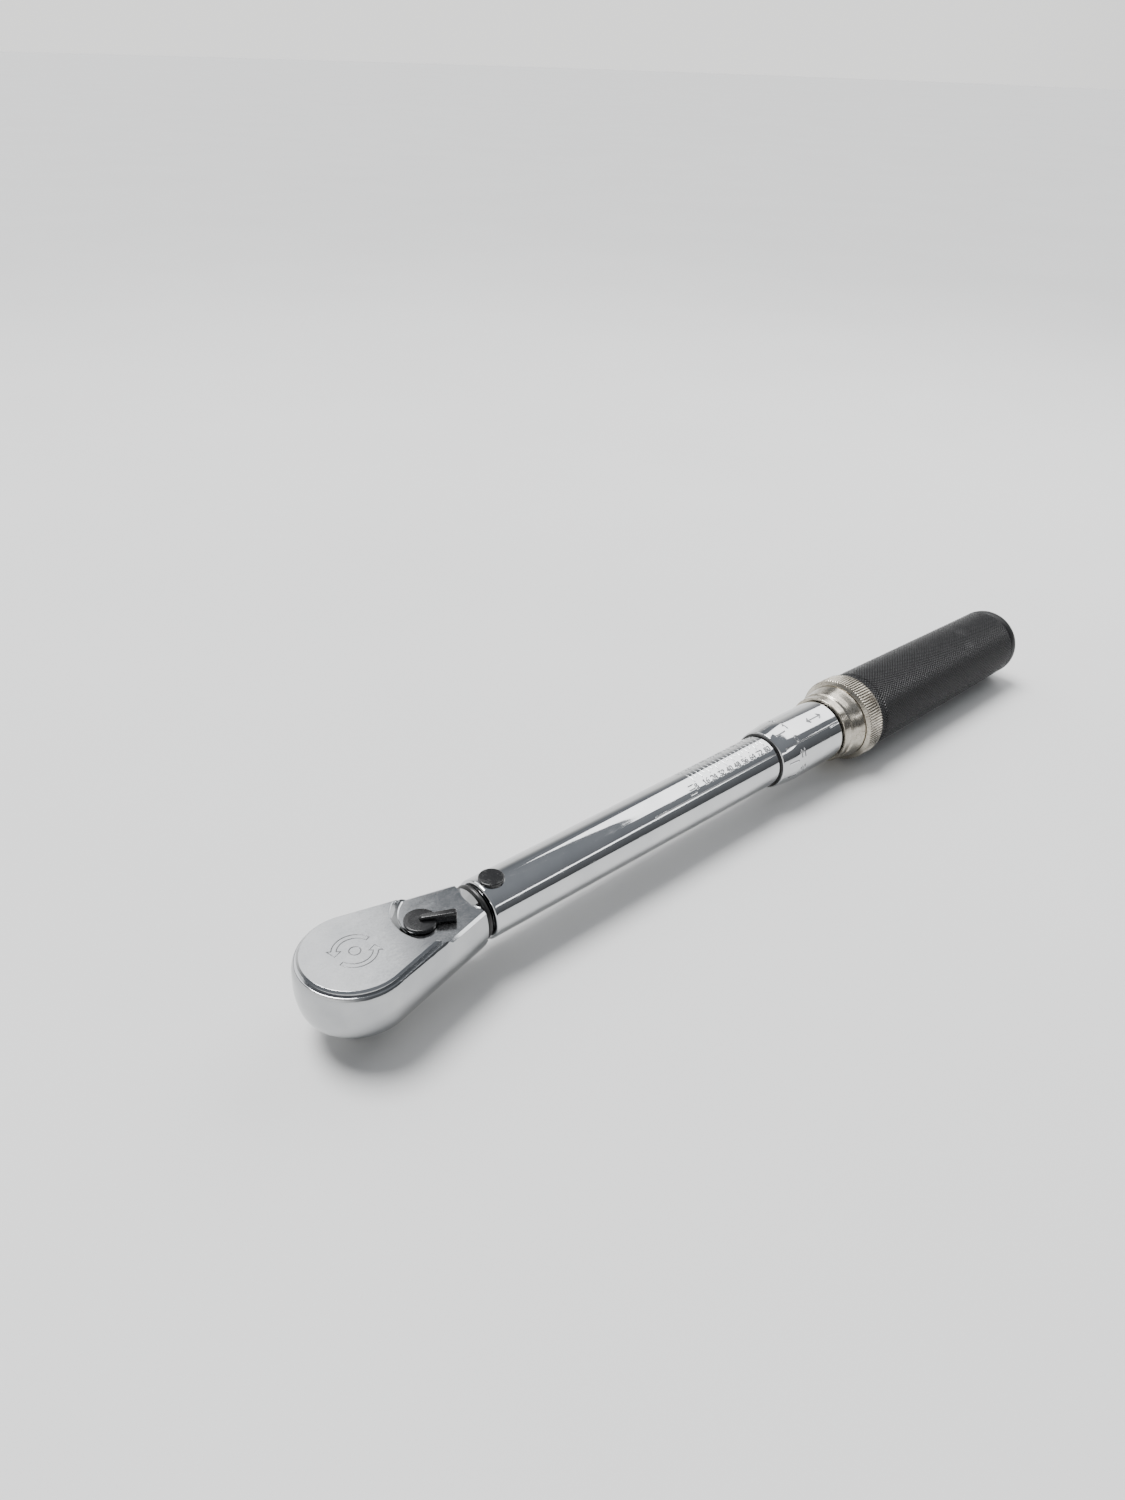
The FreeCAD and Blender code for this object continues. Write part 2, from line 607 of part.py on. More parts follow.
def tilt_block():
    half = BLOCK / 2
    half_h = BLOCK_HEIGHT / 2
    block = box(BLOCK_X, BLOCK_X + BLOCK, -half, half, AXIS_Z - half_h, AXIS_Z + half_h)
    upright = [e for e in block.Edges if abs(e.Vertexes[0].Z - e.Vertexes[1].Z) > 1]
    return block.makeFillet(0.2, upright)


def spring_plunger():
    nose_x = PLUNGER_X1 + SPRING_NOSE_LENGTH
    body = turned([
        (PLUNGER_X0, 0), (PLUNGER_X0, PLUNGER_R - 0.4), (PLUNGER_X0 + 0.4, PLUNGER_R),
        (PLUNGER_X1 - 0.4, PLUNGER_R), (PLUNGER_X1, PLUNGER_R - 0.4), (PLUNGER_X1, SPRING_NOSE_R),
        (nose_x - 1, SPRING_NOSE_R), (nose_x, SPRING_NOSE_R - 0.6), (nose_x, 0),
    ])
    return body.cut(socket_cut(PLUNGER_X0 + SOCKET_DEPTH, -1))


def main_spring():
    spring = coil(SPRING_MEAN_R, SPRING_WIRE_R, SPRING_X1 - PLUNGER_X1 - 0.1, SPRING_COILS)
    spring.rotate(V(0, 0, 0), Y_AXIS, 90)
    spring.translate(V(PLUNGER_X1 + 0.05, 0, AXIS_Z))
    return spring


def adjusting_nut():
    nut = cyl_x(BORE_R, NUT_X0, NUT_X1).cut(cyl_x(SCREW_ROD_R + CLEARANCE, NUT_X0 - 1, NUT_X1 + 1))
    return nut.cut(nut_pin_bore())


def nut_pins():
    pins = []
    for sign in (1, -1):
        start = V(NUT_PIN_X, sign * (SCREW_ROD_R + 0.5), AXIS_Z)
        pins.append(Part.makeCylinder(NUT_PIN_R, TUBE_R - SCREW_ROD_R - 0.8, start, V(0, sign, 0)))
    return Part.makeCompound(pins)


# ---- handle group ----------------------------------------------------------------------------
def ball_centre_x():
    return SPRING_X1 + SEAT_LENGTH + THRUST_BALL_R - 1.0


def spring_seat():
    x0 = SPRING_X1
    x1 = SPRING_X1 + SEAT_LENGTH
    nose_x = x0 - SPRING_NOSE_LENGTH
    seat = turned([
        (nose_x, 0), (nose_x, SPRING_NOSE_R - 0.6), (nose_x + 1, SPRING_NOSE_R), (x0, SPRING_NOSE_R),
        (x0, PLUNGER_R - 0.4), (x0 + 0.4, PLUNGER_R), (x1 - 0.4, PLUNGER_R), (x1, PLUNGER_R - 0.4), (x1, 0),
    ])
    return seat.cut(Part.makeSphere(THRUST_BALL_R, V(ball_centre_x(), 0, AXIS_Z)))


def thrust_ball():
    return Part.makeSphere(THRUST_BALL_R, V(ball_centre_x(), 0, AXIS_Z))


def adjusting_screw():
    """Threaded rod; the thread is shown as rings one pitch apart."""
    x0 = SPRING_X1 + SEAT_LENGTH + 2 * THRUST_BALL_R - 2.0
    profile = [(x0, 0), (x0, SCREW_ROD_R - 1.0), (x0 + 1, SCREW_ROD_R)]
    rings = int((THREAD_END_X - x0 - 4) / THREAD_PITCH)
    for ring in range(rings):
        x = x0 + 4 + ring * THREAD_PITCH
        profile += [(x, SCREW_ROD_R), (x + 0.8, SCREW_ROD_R - THREAD_DEPTH), (x + 1.6, SCREW_ROD_R)]
    profile += [(ROD_X1, SCREW_ROD_R), (ROD_X1, 0)]
    rod = turned(profile)
    cup = Part.makeSphere(THRUST_BALL_R + CLEARANCE, V(ball_centre_x(), 0, AXIS_Z))
    return rod.cut(cup).cut(cyl_x(HANDLE_SCREW_R, ROD_X1 - 12, ROD_X1 + 1))


def thimble():
    body = turned([
        (THIMBLE_X0, THIMBLE_NOSE_R), (THIMBLE_X0 + 0.5, THIMBLE_NOSE_R + 0.45),
        (THIMBLE_X0 + 9, THIMBLE_R - 0.1),
        (THIMBLE_X0 + 10.5, THIMBLE_R), (THIMBLE_X1 - 0.4, THIMBLE_R), (THIMBLE_X1, THIMBLE_R - 0.4),
        (THIMBLE_X1, SLEEVE_R), (SLEEVE_X1, SLEEVE_R), (SLEEVE_X1, THIMBLE_BORE_R),
        (THIMBLE_X0 + 1.6, THIMBLE_BORE_R), (THIMBLE_X0 + 1.6, THIMBLE_NOSE_R),
    ])
    for angle in (90, 210, 330):
        hole = Part.makeCylinder(LOCK_BALL_R + 0.03, 6, V(LOCK_BALL_X, 0, AXIS_Z + 7.5), Z_AXIS)
        hole.rotate(V(0, 0, AXIS_Z), X_AXIS, angle - 90)
        body = body.cut(hole)
    return body


def thimble_seal():
    x0 = THIMBLE_X0 - 0.5
    x1 = THIMBLE_X0 + 1.6
    return turned([
        (x0, THIMBLE_BORE_R), (x0, THIMBLE_NOSE_R - 0.35), (x0 + 0.35, THIMBLE_NOSE_R - 0.02),
        (x1, THIMBLE_NOSE_R - 0.02), (x1, THIMBLE_BORE_R),
    ])


def lock_balls():
    balls = []
    for angle in (90, 210, 330):
        ball = Part.makeSphere(LOCK_BALL_R, V(LOCK_BALL_X, 0, AXIS_Z + TUBE_R + 0.06 + LOCK_BALL_R))
        ball.rotate(V(0, 0, AXIS_Z), X_AXIS, angle - 90)
        balls.append(ball)
    return Part.makeCompound(balls)


def lock_ring():
    """Spring-loaded ring: plain hub, stepped flare, grooved flange and a straight-knurled band."""
    hub = turned([
        (RING_X0, RING_MOUTH_R), (RING_X0, RING_HUB_R - 0.4), (RING_X0 + 0.4, RING_HUB_R), *RING_COVE,
        (RING_GROOVE_X0, RING_FLANGE_R), (RING_GROOVE_X0, RING_GROOVE_R), (RING_GROOVE_X1, RING_GROOVE_R),
        (RING_GROOVE_X1, RING_FLANGE_R + 0.2), (RING_GROOVE_X1 + 0.5, RING_CUP_R),
        (RING_BAND_X - 0.1, RING_ROOT_R - 0.1), (RING_X1 - 0.1, RING_ROOT_R - 0.1),
        (RING_X1 - 0.1, RING_CUP_R), (RING_CUP_X, RING_CUP_R), (RING_CUP_X, RING_SPRING_BORE_R),
        (RING_SPRING_X, RING_SPRING_BORE_R), (RING_SPRING_X, SLEEVE_R + 0.08),
        (RING_RAMP_X + 0.2, SLEEVE_R + 0.08), (RING_RAMP_X, RING_MOUTH_R),
    ])
    plan = []
    for tooth in range(RING_TEETH):
        middle = tooth * 360.0 / RING_TEETH
        for radius, angle in ((RING_TIP_R, middle - 0.6), (RING_TIP_R, middle + 0.6),
                              (RING_ROOT_R, middle + 1.55), (RING_ROOT_R, middle + 2.2)):
            plan.append(polar(radius, angle))
    corners = [V(RING_BAND_X, p.x, AXIS_Z + p.y) for p in plan]
    band = Part.Face(Part.makePolygon(corners + corners[:1])).extrude(V(RING_X1 - RING_BAND_X, 0, 0))
    band = band.cut(cyl_x(RING_CUP_R, RING_BAND_X - 1, RING_X1 + 1))
    inside = RING_CUP_R - 0.2
    ends = turned([
        (RING_BAND_X, inside), (RING_BAND_X, RING_ROOT_R), (RING_BAND_X + 0.4, RING_TIP_R + 0.1),
        (RING_X1 - 0.4, RING_TIP_R + 0.1), (RING_X1, RING_ROOT_R), (RING_X1, inside),
    ])
    return hub.fuse(band.common(ends))


def lock_spring():
    mean_r, wire_r, turns = LOCK_SPRING
    spring = coil(mean_r, wire_r, GRIP_X0 - RING_SPRING_X - 0.1, turns)
    spring.rotate(V(0, 0, 0), Y_AXIS, 90)
    spring.translate(V(RING_SPRING_X + 0.05, 0, AXIS_Z))
    return spring


def grip():
    rounding = GRIP_END_ROUNDING
    steps = 9
    end = []
    for step in range(1, steps):
        a = math.radians(step * 90 / steps)
        fall = GRIP_END_FALL * (1 - math.cos(a))
        end.append((GRIP_X1 - rounding + rounding * math.sin(a), GRIP_END_R - fall))
    return turned([
        (GRIP_X0, SLEEVE_R), (GRIP_X0, GRIP_FRONT_R - 0.3), (GRIP_X0 + 0.3, GRIP_FRONT_R),
        (GRIP_STEP_X, GRIP_FRONT_R), (GRIP_STEP_X + 0.7, GRIP_MAX_R), (GRIP_X1 - rounding, GRIP_END_R),
        *end, (GRIP_X1, END_CAP_R), (END_CAP_X0, END_CAP_R), (END_CAP_X0, GRIP_BORE_R),
        (SLEEVE_X1, GRIP_BORE_R), (SLEEVE_X1, SLEEVE_R),
    ])


def end_cap():
    return turned([
        (END_CAP_X0, SCREW_ROD_R), (END_CAP_X0, END_CAP_R), (END_CAP_X1 - 0.5, END_CAP_R),
        (END_CAP_X1, END_CAP_R - 0.5), (END_CAP_X1, END_CAP_RECESS_R), (ROD_X1, END_CAP_RECESS_R),
        (ROD_X1, SCREW_ROD_R),
    ])


def handle_screw():
    shank = cyl_x(HANDLE_SCREW_R, ROD_X1 - 10, ROD_X1 + 0.5)
    cap = cyl_x(HANDLE_SCREW_HEAD_R, ROD_X1, ROD_X1 + HANDLE_SCREW_HEAD)
    corners = [polar(HEX_SOCKET_R, k * 60) for k in range(6)]
    hexagon = [V(ROD_X1 + HEX_SOCKET_FLOOR, p.x, AXIS_Z + p.y) for p in corners]
    socket = Part.Face(Part.makePolygon(hexagon + hexagon[:1])).extrude(V(HANDLE_SCREW_HEAD, 0, 0))
    return shank.fuse(cap).cut(socket)


NODES = {
    "tube": tube,
    "pivot_pin": pivot_pin,
    "pin_caps": pin_caps,
    "adjusting_nut": adjusting_nut,
    "nut_pins": nut_pins,
    "head": head,
    "neck_seal": seal_torus,
    "cover_plate": cover_plate,
    "cover_screws": cover_screws,
    "pawl_pin": pawl_pin,
    "drive_gear": drive_gear,
    "detent_ball": detent_ball,
    "detent_spring": detent_spring,
    "pawl": pawl,
    "reversing_lever": reversing_lever,
    "lever_clip": lever_clip,
    "lever_plunger": lever_plunger,
    "lever_spring": lever_spring,
    "tilt_block": tilt_block,
    "spring_plunger": spring_plunger,
    "main_spring": main_spring,
    "spring_seat": spring_seat,
    "thrust_ball": thrust_ball,
    "adjusting_screw": adjusting_screw,
    "thimble": thimble,
    "thimble_seal": thimble_seal,
    "lock_balls": lock_balls,
    "lock_ring": lock_ring,
    "lock_spring": lock_spring,
    "grip": grip,
    "end_cap": end_cap,
    "handle_screw": handle_screw,
}

os.makedirs("parts", exist_ok=True)
for node, make in NODES.items():
    make().exportStep("parts/" + node + ".step")
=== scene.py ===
import math
import random

import bpy
import numpy as np
from mathutils import Matrix, Vector


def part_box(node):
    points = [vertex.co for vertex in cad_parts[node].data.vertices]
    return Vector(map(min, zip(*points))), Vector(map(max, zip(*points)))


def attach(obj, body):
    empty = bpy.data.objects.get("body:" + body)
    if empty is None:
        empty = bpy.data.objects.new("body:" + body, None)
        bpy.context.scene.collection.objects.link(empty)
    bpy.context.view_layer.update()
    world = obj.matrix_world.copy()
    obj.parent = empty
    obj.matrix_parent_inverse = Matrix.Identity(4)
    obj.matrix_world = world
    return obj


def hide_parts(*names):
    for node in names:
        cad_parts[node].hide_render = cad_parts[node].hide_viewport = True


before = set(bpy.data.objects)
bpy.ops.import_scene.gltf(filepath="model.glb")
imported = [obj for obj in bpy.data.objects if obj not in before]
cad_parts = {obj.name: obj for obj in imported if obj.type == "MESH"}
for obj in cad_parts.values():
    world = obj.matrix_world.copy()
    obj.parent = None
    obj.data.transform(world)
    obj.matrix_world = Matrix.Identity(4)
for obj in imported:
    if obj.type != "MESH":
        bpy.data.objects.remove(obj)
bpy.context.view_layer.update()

# Looks of the torque wrench. Shapes are worked out in millimetres on the tube's centreline: x runs
# from the head to the grip, and an angle of 0 faces -Y, 90 faces up and 180 faces +Y.

MM = 0.001
SEED = 11
ROUND_SEGMENTS = 96


def node_corners(name):
    """Lowest and highest corners of a CAD node, in millimetres."""
    return [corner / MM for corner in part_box(name)]


# ---- driving sizes in millimetres; places and outer sizes come from the frame -----------------
tube_low, tube_high = node_corners("tube")
thimble_low, thimble_high = node_corners("thimble")
ring_low, ring_high = node_corners("lock_ring")
grip_low, grip_high = node_corners("grip")
caps_low, caps_high = node_corners("pin_caps")
seal_low, seal_high = node_corners("neck_seal")

# tube and thimble
AXIS_Z = (tube_low.z + tube_high.z) / 2
TUBE_R = (tube_high.z - tube_low.z) / 2
TUBE_BORE_R = 7.7
THIMBLE_X0 = thimble_low.x
THIMBLE_X1 = THIMBLE_X0 + 33.2
THIMBLE_TAPER = 9.5
THIMBLE_NOSE_R = 10.3
THIMBLE_SWELL_R = THIMBLE_NOSE_R + 0.77
THIMBLE_R = (thimble_high.z - thimble_low.z) / 2
THIMBLE_BORE_R = 9.58
SLEEVE_R = 11.2

# lock ring
RING_TIP_R = (ring_high.z - ring_low.z) / 2
RING_ROOT_R = RING_TIP_R - 0.35
RING_HUB_R = 12.7
RING_BORE_R = 11.28
RING_SPRING_R = 12.3
RING_SKIRT_R = 15.2
RING_BAND_START = 11.3
RING_TEETH = 96

# grip
GRIP_R = (grip_high.z - grip_low.z) / 2
GRIP_FRONT_R = 14.85
GRIP_END_R = 14.15
GRIP_RIM = 2.3
GRIP_COLLAR = 5.9
GRIP_STEP = 1.2
GRIP_ROUNDING = 4.2
GRIP_ROUNDING_FALL = 2.95
CAP_SEAT_R = 11.0
CAP_SEAT_DEPTH = 9.8

# caps of the pivot pin
PIN_X = (caps_low.x + caps_high.x) / 2
PIN_CAP_R = (caps_high.x - caps_low.x) / 2
PIN_CAP_FACE = (caps_high.z - caps_low.z) / 2
PIN_CAP_BACK = 8.35

# reversing lever
HUB_X = 21.2
HUB_R = 4.8
HUB_BOTTOM = 25.5
HUB_TOP = 26.8
STEM_R = 3.0
STEM_BOTTOM = 14.2
FIN_START_X = 0.6
FIN_END_X = 9.15
FIN_INNER_R = 1.0
FIN_OUTER_R = 1.25
FIN_DIP = 0.55
LEVER_REST_ANGLE = math.radians(-28)

# direction mark on the front plate
PLATE_Z = 27.6
MARK_RING_R = 1.6
ARROW_R = 5.6
ARROW_HALF_WIDTH = 0.7
ARROW_HEAD_HALF_WIDTH = 1.9
ARROW_SWEEP = 125
ARROW_HEAD_SWEEP = 22

# scale on the tube and thimble
ZERO_LINE_ANGLE = 44.0
ZERO_LINE_X0 = 109.0
SCALE_X0 = 131.0
SCALE_STEP = 2.0
SCALE_TICKS = 19
NUMBER_ROWS = ((8, 57), (11, 114))
NUMBER_HEIGHT = 1.75
DIVISIONS = 12
ENGRAVING_DEPTH = 0.11
LINE_HALF_WIDTH = 0.17

# knurl of the grip
KNURL_COUNT = 80
KNURL_PITCH_X = 1.72
KNURL_DEPTH = 0.26
KNURL_CREST = 0.5
KNURL_WEAR = 0.05
KNURL_END_MARGIN = 5.0
HALF_STEPS = 2 * KNURL_COUNT
HALF_STEP = 360.0 / HALF_STEPS
HALF_PITCH = KNURL_PITCH_X / 2
KNURL_X0 = grip_low.x + GRIP_RIM
KNURL_ROWS = 2 * int((grip_high.x - KNURL_END_MARGIN - KNURL_X0) / KNURL_PITCH_X) - 1
KNURL_X1 = KNURL_X0 + (KNURL_ROWS + 1) * HALF_PITCH

# chrome: depth of its scratches, and its darkest and lightest tone; the head's tones are set darker than
# the tube's as painted shade
SCRATCH_DEPTH = 0.0006
TUBE_TONES = ((0.53, 0.54, 0.55), (0.61, 0.615, 0.62))
HEAD_SHADED_TONES = ((0.40, 0.41, 0.42), (0.49, 0.495, 0.50))

# studio, in metres
CAMERA_PLACE = (-0.104855, -0.190775, 0.231275)
CAMERA_RIGHT = (0.7489, -0.6615, 0.0388)
CAMERA_DOWN = (-0.3356, -0.4292, -0.8385)
CAMERA_LENS = 25.83
CAMERA_SENSOR = 36.0
SOFTBOXES = (
    # name, place, aim, width and height, watts
    ("back_softbox", (0.05, 0.72, 0.66), (0.05, 0, 0), (0.75, 0.42), 2.2),
    ("side_softbox", (0.76, 0.10, 0.62), (0.12, 0, 0), (0.75, 0.40), 3.6),
    ("strip_light", (0.64, -0.62, 0.42), (0.10, 0, 0), (0.70, 0.05), 0.45),
)
SUN_PLACE = (-0.05, 0.52, 1.4)
SUN_AIM = (0.1, 0, 0)
SUN_STRENGTH = 5.6
SUN_ANGLE = 28
BACKDROP = (1.45, 1.45, 1.43)
BACKDROP_AZIMUTH = math.radians(118)
ROOM_LOW = (0.10, 0.103, 0.108)
ROOM_HIGH = (0.34, 0.36, 0.39)

# table, in millimetres: its slope, where it touches the drive, and the gap below it
TABLE_SLOPE = 0.01355
TABLE_TOUCH_X = 4.05
TABLE_GAP = 0.15


# ---- mesh helpers ----------------------------------------------------------------------------
def make_object(name, points, faces, smooth_angle=35.0):
    """Mesh object from points in millimetres, smooth except over edges sharper than the angle."""
    mesh = bpy.data.meshes.new(name)
    mesh.from_pydata((np.asarray(points, float) * MM).tolist(), [], faces)
    mesh.shade_smooth()
    mesh.set_sharp_from_angle(angle=math.radians(smooth_angle))
    mesh.validate()
    piece = bpy.data.objects.new(name, mesh)
    bpy.context.scene.collection.objects.link(piece)
    return piece


def with_attribute(piece, name, values):
    """Stores one number per point for the material."""
    attribute = piece.data.attributes.new(name, "FLOAT", "POINT")
    attribute.data.foreach_set("value", np.asarray(values, np.float32).ravel())
    return piece


def grid_faces(rows, columns, loop=False, start=0):
    """Quads between rows of points that each go once round; loop also joins the last row to the first."""
    faces = []
    for row in range(rows if loop else rows - 1):
        here = start + row * columns
        above = start + ((row + 1) % rows) * columns
        for column in range(columns):
            beside = (column + 1) % columns
            faces.append((here + column, here + beside, above + beside, above + column))
    return faces


def around_tube(x, radius, angles):
    """Points round the tube's centreline: x and radius are columns or grids, angles are in degrees."""
    a = np.radians(angles)[None, :]
    x, radius = np.broadcast_arrays(x, radius)
    points = np.stack([x + 0 * a, -radius * np.cos(a), AXIS_Z + radius * np.sin(a)], axis=-1)
    return points.reshape(-1, 3)


def point_on_tube(x, radius, angle):
    """One point round the tube's centreline, as an array of one row."""
    return around_tube(np.array([[x]]), np.array([[radius]]), np.array([angle]))


def rounded(corners, steps=4, support=0.12):
    """Profile through (x, radius, fillet) corners; a fillet is an arc with a support point each side."""
    profile = []
    count = len(corners)
    for i, (x, r, fillet) in enumerate(corners):
        here = np.array([x, r])
        before = np.array(corners[i - 1][:2]) if i else None
        after = np.array(corners[i + 1][:2]) if i < count - 1 else None
        if before is None or after is None or fillet <= 0:
            profile.append(here)
            continue
        back, ahead = before - here, after - here
        back_length, ahead_length = np.linalg.norm(back), np.linalg.norm(ahead)
        back, ahead = back / back_length, ahead / ahead_length
        turn = math.pi - math.acos(float(np.clip(back @ ahead, -1, 1)))
        reach = min(fillet * math.tan(turn / 2), 0.45 * back_length, 0.45 * ahead_length)
        if back_length - reach > 3 * support:
            profile.append(here + back * (reach + support))
        for step in range(steps + 1):
            t = step / steps
            profile.append((1 - t) ** 2 * (here + back * reach) + 2 * t * (1 - t) * here
                           + t ** 2 * (here + ahead * reach))
        if ahead_length - reach > 3 * support:
            profile.append(here + ahead * (reach + support))
    return np.array(profile)


def upright_rows(profile, x):
    """Points round a vertical axis at x from a (radius, z) profile."""
    a = np.arange(ROUND_SEGMENTS) * 2 * math.pi / ROUND_SEGMENTS
    r = profile[:, :1]
    points = np.stack([x + r * np.cos(a), r * np.sin(a), profile[:, 1:] + 0 * a], axis=-1)
    return points.reshape(-1, 3)


def stations(low, high, step):
    """Evenly spaced values from low to high, about a step apart."""
    return np.linspace(low, high, max(2, int(round((high - low) / step)) + 1))


# ---- engraving -------------------------------------------------------------------------------
# strokes of the numerals on a cell 0.6 wide and 1 high
DIGITS = {
    "0": [((0.15, 0), (0, 0.2), (0, 0.8), (0.15, 1), (0.45, 1), (0.6, 0.8), (0.6, 0.2), (0.45, 0),
           (0.15, 0))],
    "1": [((0.1, 0.78), (0.35, 1), (0.35, 0))],
    "2": [((0, 0.8), (0.15, 1), (0.45, 1), (0.6, 0.8), (0.6, 0.6), (0, 0), (0.6, 0))],
    "3": [((0, 1), (0.6, 1), (0.28, 0.6), (0.6, 0.4), (0.6, 0.2), (0.42, 0), (0, 0.05))],
    "4": [((0.42, 0), (0.42, 1), (0, 0.32), (0.6, 0.32))],
    "5": [((0.6, 1), (0.08, 1), (0.02, 0.58), (0.4, 0.62), (0.6, 0.42), (0.6, 0.18), (0.42, 0),
           (0, 0.04))],
    "6": [((0.5, 1), (0.1, 0.55), (0, 0.2), (0.15, 0), (0.45, 0), (0.6, 0.2), (0.6, 0.4), (0.45, 0.55),
           (0.08, 0.5))],
    "7": [((0, 1), (0.6, 1), (0.22, 0))],
    "8": [((0.15, 0.54), (0.03, 0.78), (0.15, 1), (0.45, 1), (0.57, 0.78), (0.45, 0.54), (0.15, 0.54),
           (0, 0.28), (0.15, 0), (0.45, 0), (0.6, 0.28), (0.45, 0.54))],
    "9": [((0.1, 0), (0.5, 0.45), (0.6, 0.8), (0.45, 1), (0.15, 1), (0, 0.8), (0, 0.62), (0.15, 0.46),
           (0.52, 0.5))],
}


def number_strokes(text, x, s, height):
    """Line segments of a number that reads along +x, with its foot at s on the unrolled surface."""
    segments = []
    for place, digit in enumerate(text):
        left = x + place * height * 0.82
        for line in DIGITS[digit]:
            placed = [(left + u * height, s + v * height) for u, v in line]
            segments += list(zip(placed[:-1], placed[1:]))
    return segments


def stroke_depth(x, s, segments, half_width, soft=0.09):
    """How far each grid point is sunk, 0 to 1, by a set of strokes on the unrolled surface."""
    depth = np.zeros(np.broadcast_shapes(x.shape, s.shape))
    for (x0, s0), (x1, s1) in segments:
        dx, ds = x1 - x0, s1 - s0
        t = np.clip(((x - x0) * dx + (s - s0) * ds) / max(dx * dx + ds * ds, 1e-9), 0, 1)
        distance = np.hypot(x - x0 - t * dx, s - s0 - t * ds)
        fall = np.clip((half_width + soft / 2 - distance) / soft, 0, 1)
        depth = np.maximum(depth, fall * fall * (3 - 2 * fall))
    return depth


def dense_angles(spans, fine, coarse):
    """Angles once round: fine inside the (low, high) spans, coarse elsewhere."""
    angles = []
    starts = [low for low, high in spans[1:]] + [spans[0][0] + 360]
    for (low, high), following in zip(spans, starts):
        angles += list(stations(low, high, fine)[:-1])
        angles += list(stations(high, following, coarse)[:-1])
    return np.array(angles)


def tube_scale(radius):
    """Strokes of the tube's scale: zero line, ticks, a row of numbers each side and a short sign."""
    arc = math.radians(1) * radius
    strokes = [((ZERO_LINE_X0, ZERO_LINE_ANGLE * arc), (THIMBLE_X0, ZERO_LINE_ANGLE * arc))]
    for tick in range(SCALE_TICKS):
        x = SCALE_X0 + tick * SCALE_STEP
        low, high = (73, 110) if tick % 2 == 0 else (82, 101)
        strokes.append(((x, low * arc), (x, high * arc)))
        if tick % 2 == 0:
            for step, angle in NUMBER_ROWS:
                number = str((tick // 2 + 1) * step)
                strokes += number_strokes(number, x - 1.3, angle * arc, NUMBER_HEIGHT)
    for bar, angle in enumerate((51.0, 60.0, 69.0)):
        strokes.append(((126.2 + bar * 0.4, angle * arc), (129.0, angle * arc)))
    return strokes


def make_tube():
    """Tube with a rounded mouth and stamped scale."""
    # angles that need a fine grid: the near numbers, the ends of the ticks and the far numbers
    spans = [(42.0, 71.5), (72.4, 73.6), (80.0, 83.0), (100.0, 103.0), (109.0, 126.5)]
    angles = dense_angles(spans, 0.72, 3.0)
    scale_start = SCALE_X0 - 5.2
    mouth = rounded([(50.0, TUBE_BORE_R, 0), (tube_low.x, TUBE_BORE_R, 0.25), (tube_low.x, TUBE_R, 0.9),
                     (60.0, TUBE_R, 0)])
    line_start = [ZERO_LINE_X0 + step for step in (-0.8, -0.2, 0.4)]
    middle = [(x, TUBE_R) for x in (80.0, 100.0, *line_start, 115.0, 122.0)]
    dense = [(x, TUBE_R) for x in stations(scale_start, THIMBLE_X0 - 1, 0.125)]
    rear = rounded([(THIMBLE_X0 + 8, TUBE_R, 0), (tube_high.x, TUBE_R, 0.6),
                    (tube_high.x, TUBE_BORE_R, 0.2), (tube_high.x - 20, TUBE_BORE_R, 0)])
    profile = np.vstack([mouth, middle, dense, rear])
    x = profile[:, :1]
    s = np.radians(angles)[None, :] * TUBE_R
    depth = stroke_depth(x, s, tube_scale(TUBE_R), LINE_HALF_WIDTH)
    outside = profile[:, 1:] > TUBE_R - 0.01
    radius = profile[:, 1:] - depth * ENGRAVING_DEPTH * outside
    points = around_tube(x, radius, angles)
    piece = make_object("engraved_tube", points, grid_faces(len(profile), len(angles), True))
    return with_attribute(piece, "mark", depth * outside)


def thimble_marks(radius):
    """Strokes of the thimble: twelve bars with numbers, the zero line and a two-way arrow."""
    arc = math.radians(1) * radius
    zero = ZERO_LINE_ANGLE * arc
    bar_x = THIMBLE_X0 + 3.2
    strokes = [((bar_x, zero), (THIMBLE_X1 - 1.2, zero))]
    for division in range(DIVISIONS):
        angle = ZERO_LINE_ANGLE + division * 360 / DIVISIONS
        strokes.append(((bar_x, angle * arc), (bar_x + 4.2, angle * arc)))
        strokes += number_strokes(str(division % DIVISIONS), bar_x + 5.6, (angle + 3.2) * arc, 2.1)
    middle = (ZERO_LINE_ANGLE + 27) * arc
    low_x, high_x = THIMBLE_X0 + 19.5, THIMBLE_X0 + 27.0
    strokes.append(((low_x, middle), (high_x, middle)))
    for x, back in ((low_x, 1.2), (high_x, -1.2)):
        strokes += [((x, middle), (x + back, middle + 1.0)), ((x, middle), (x + back, middle - 1.0))]
    return strokes


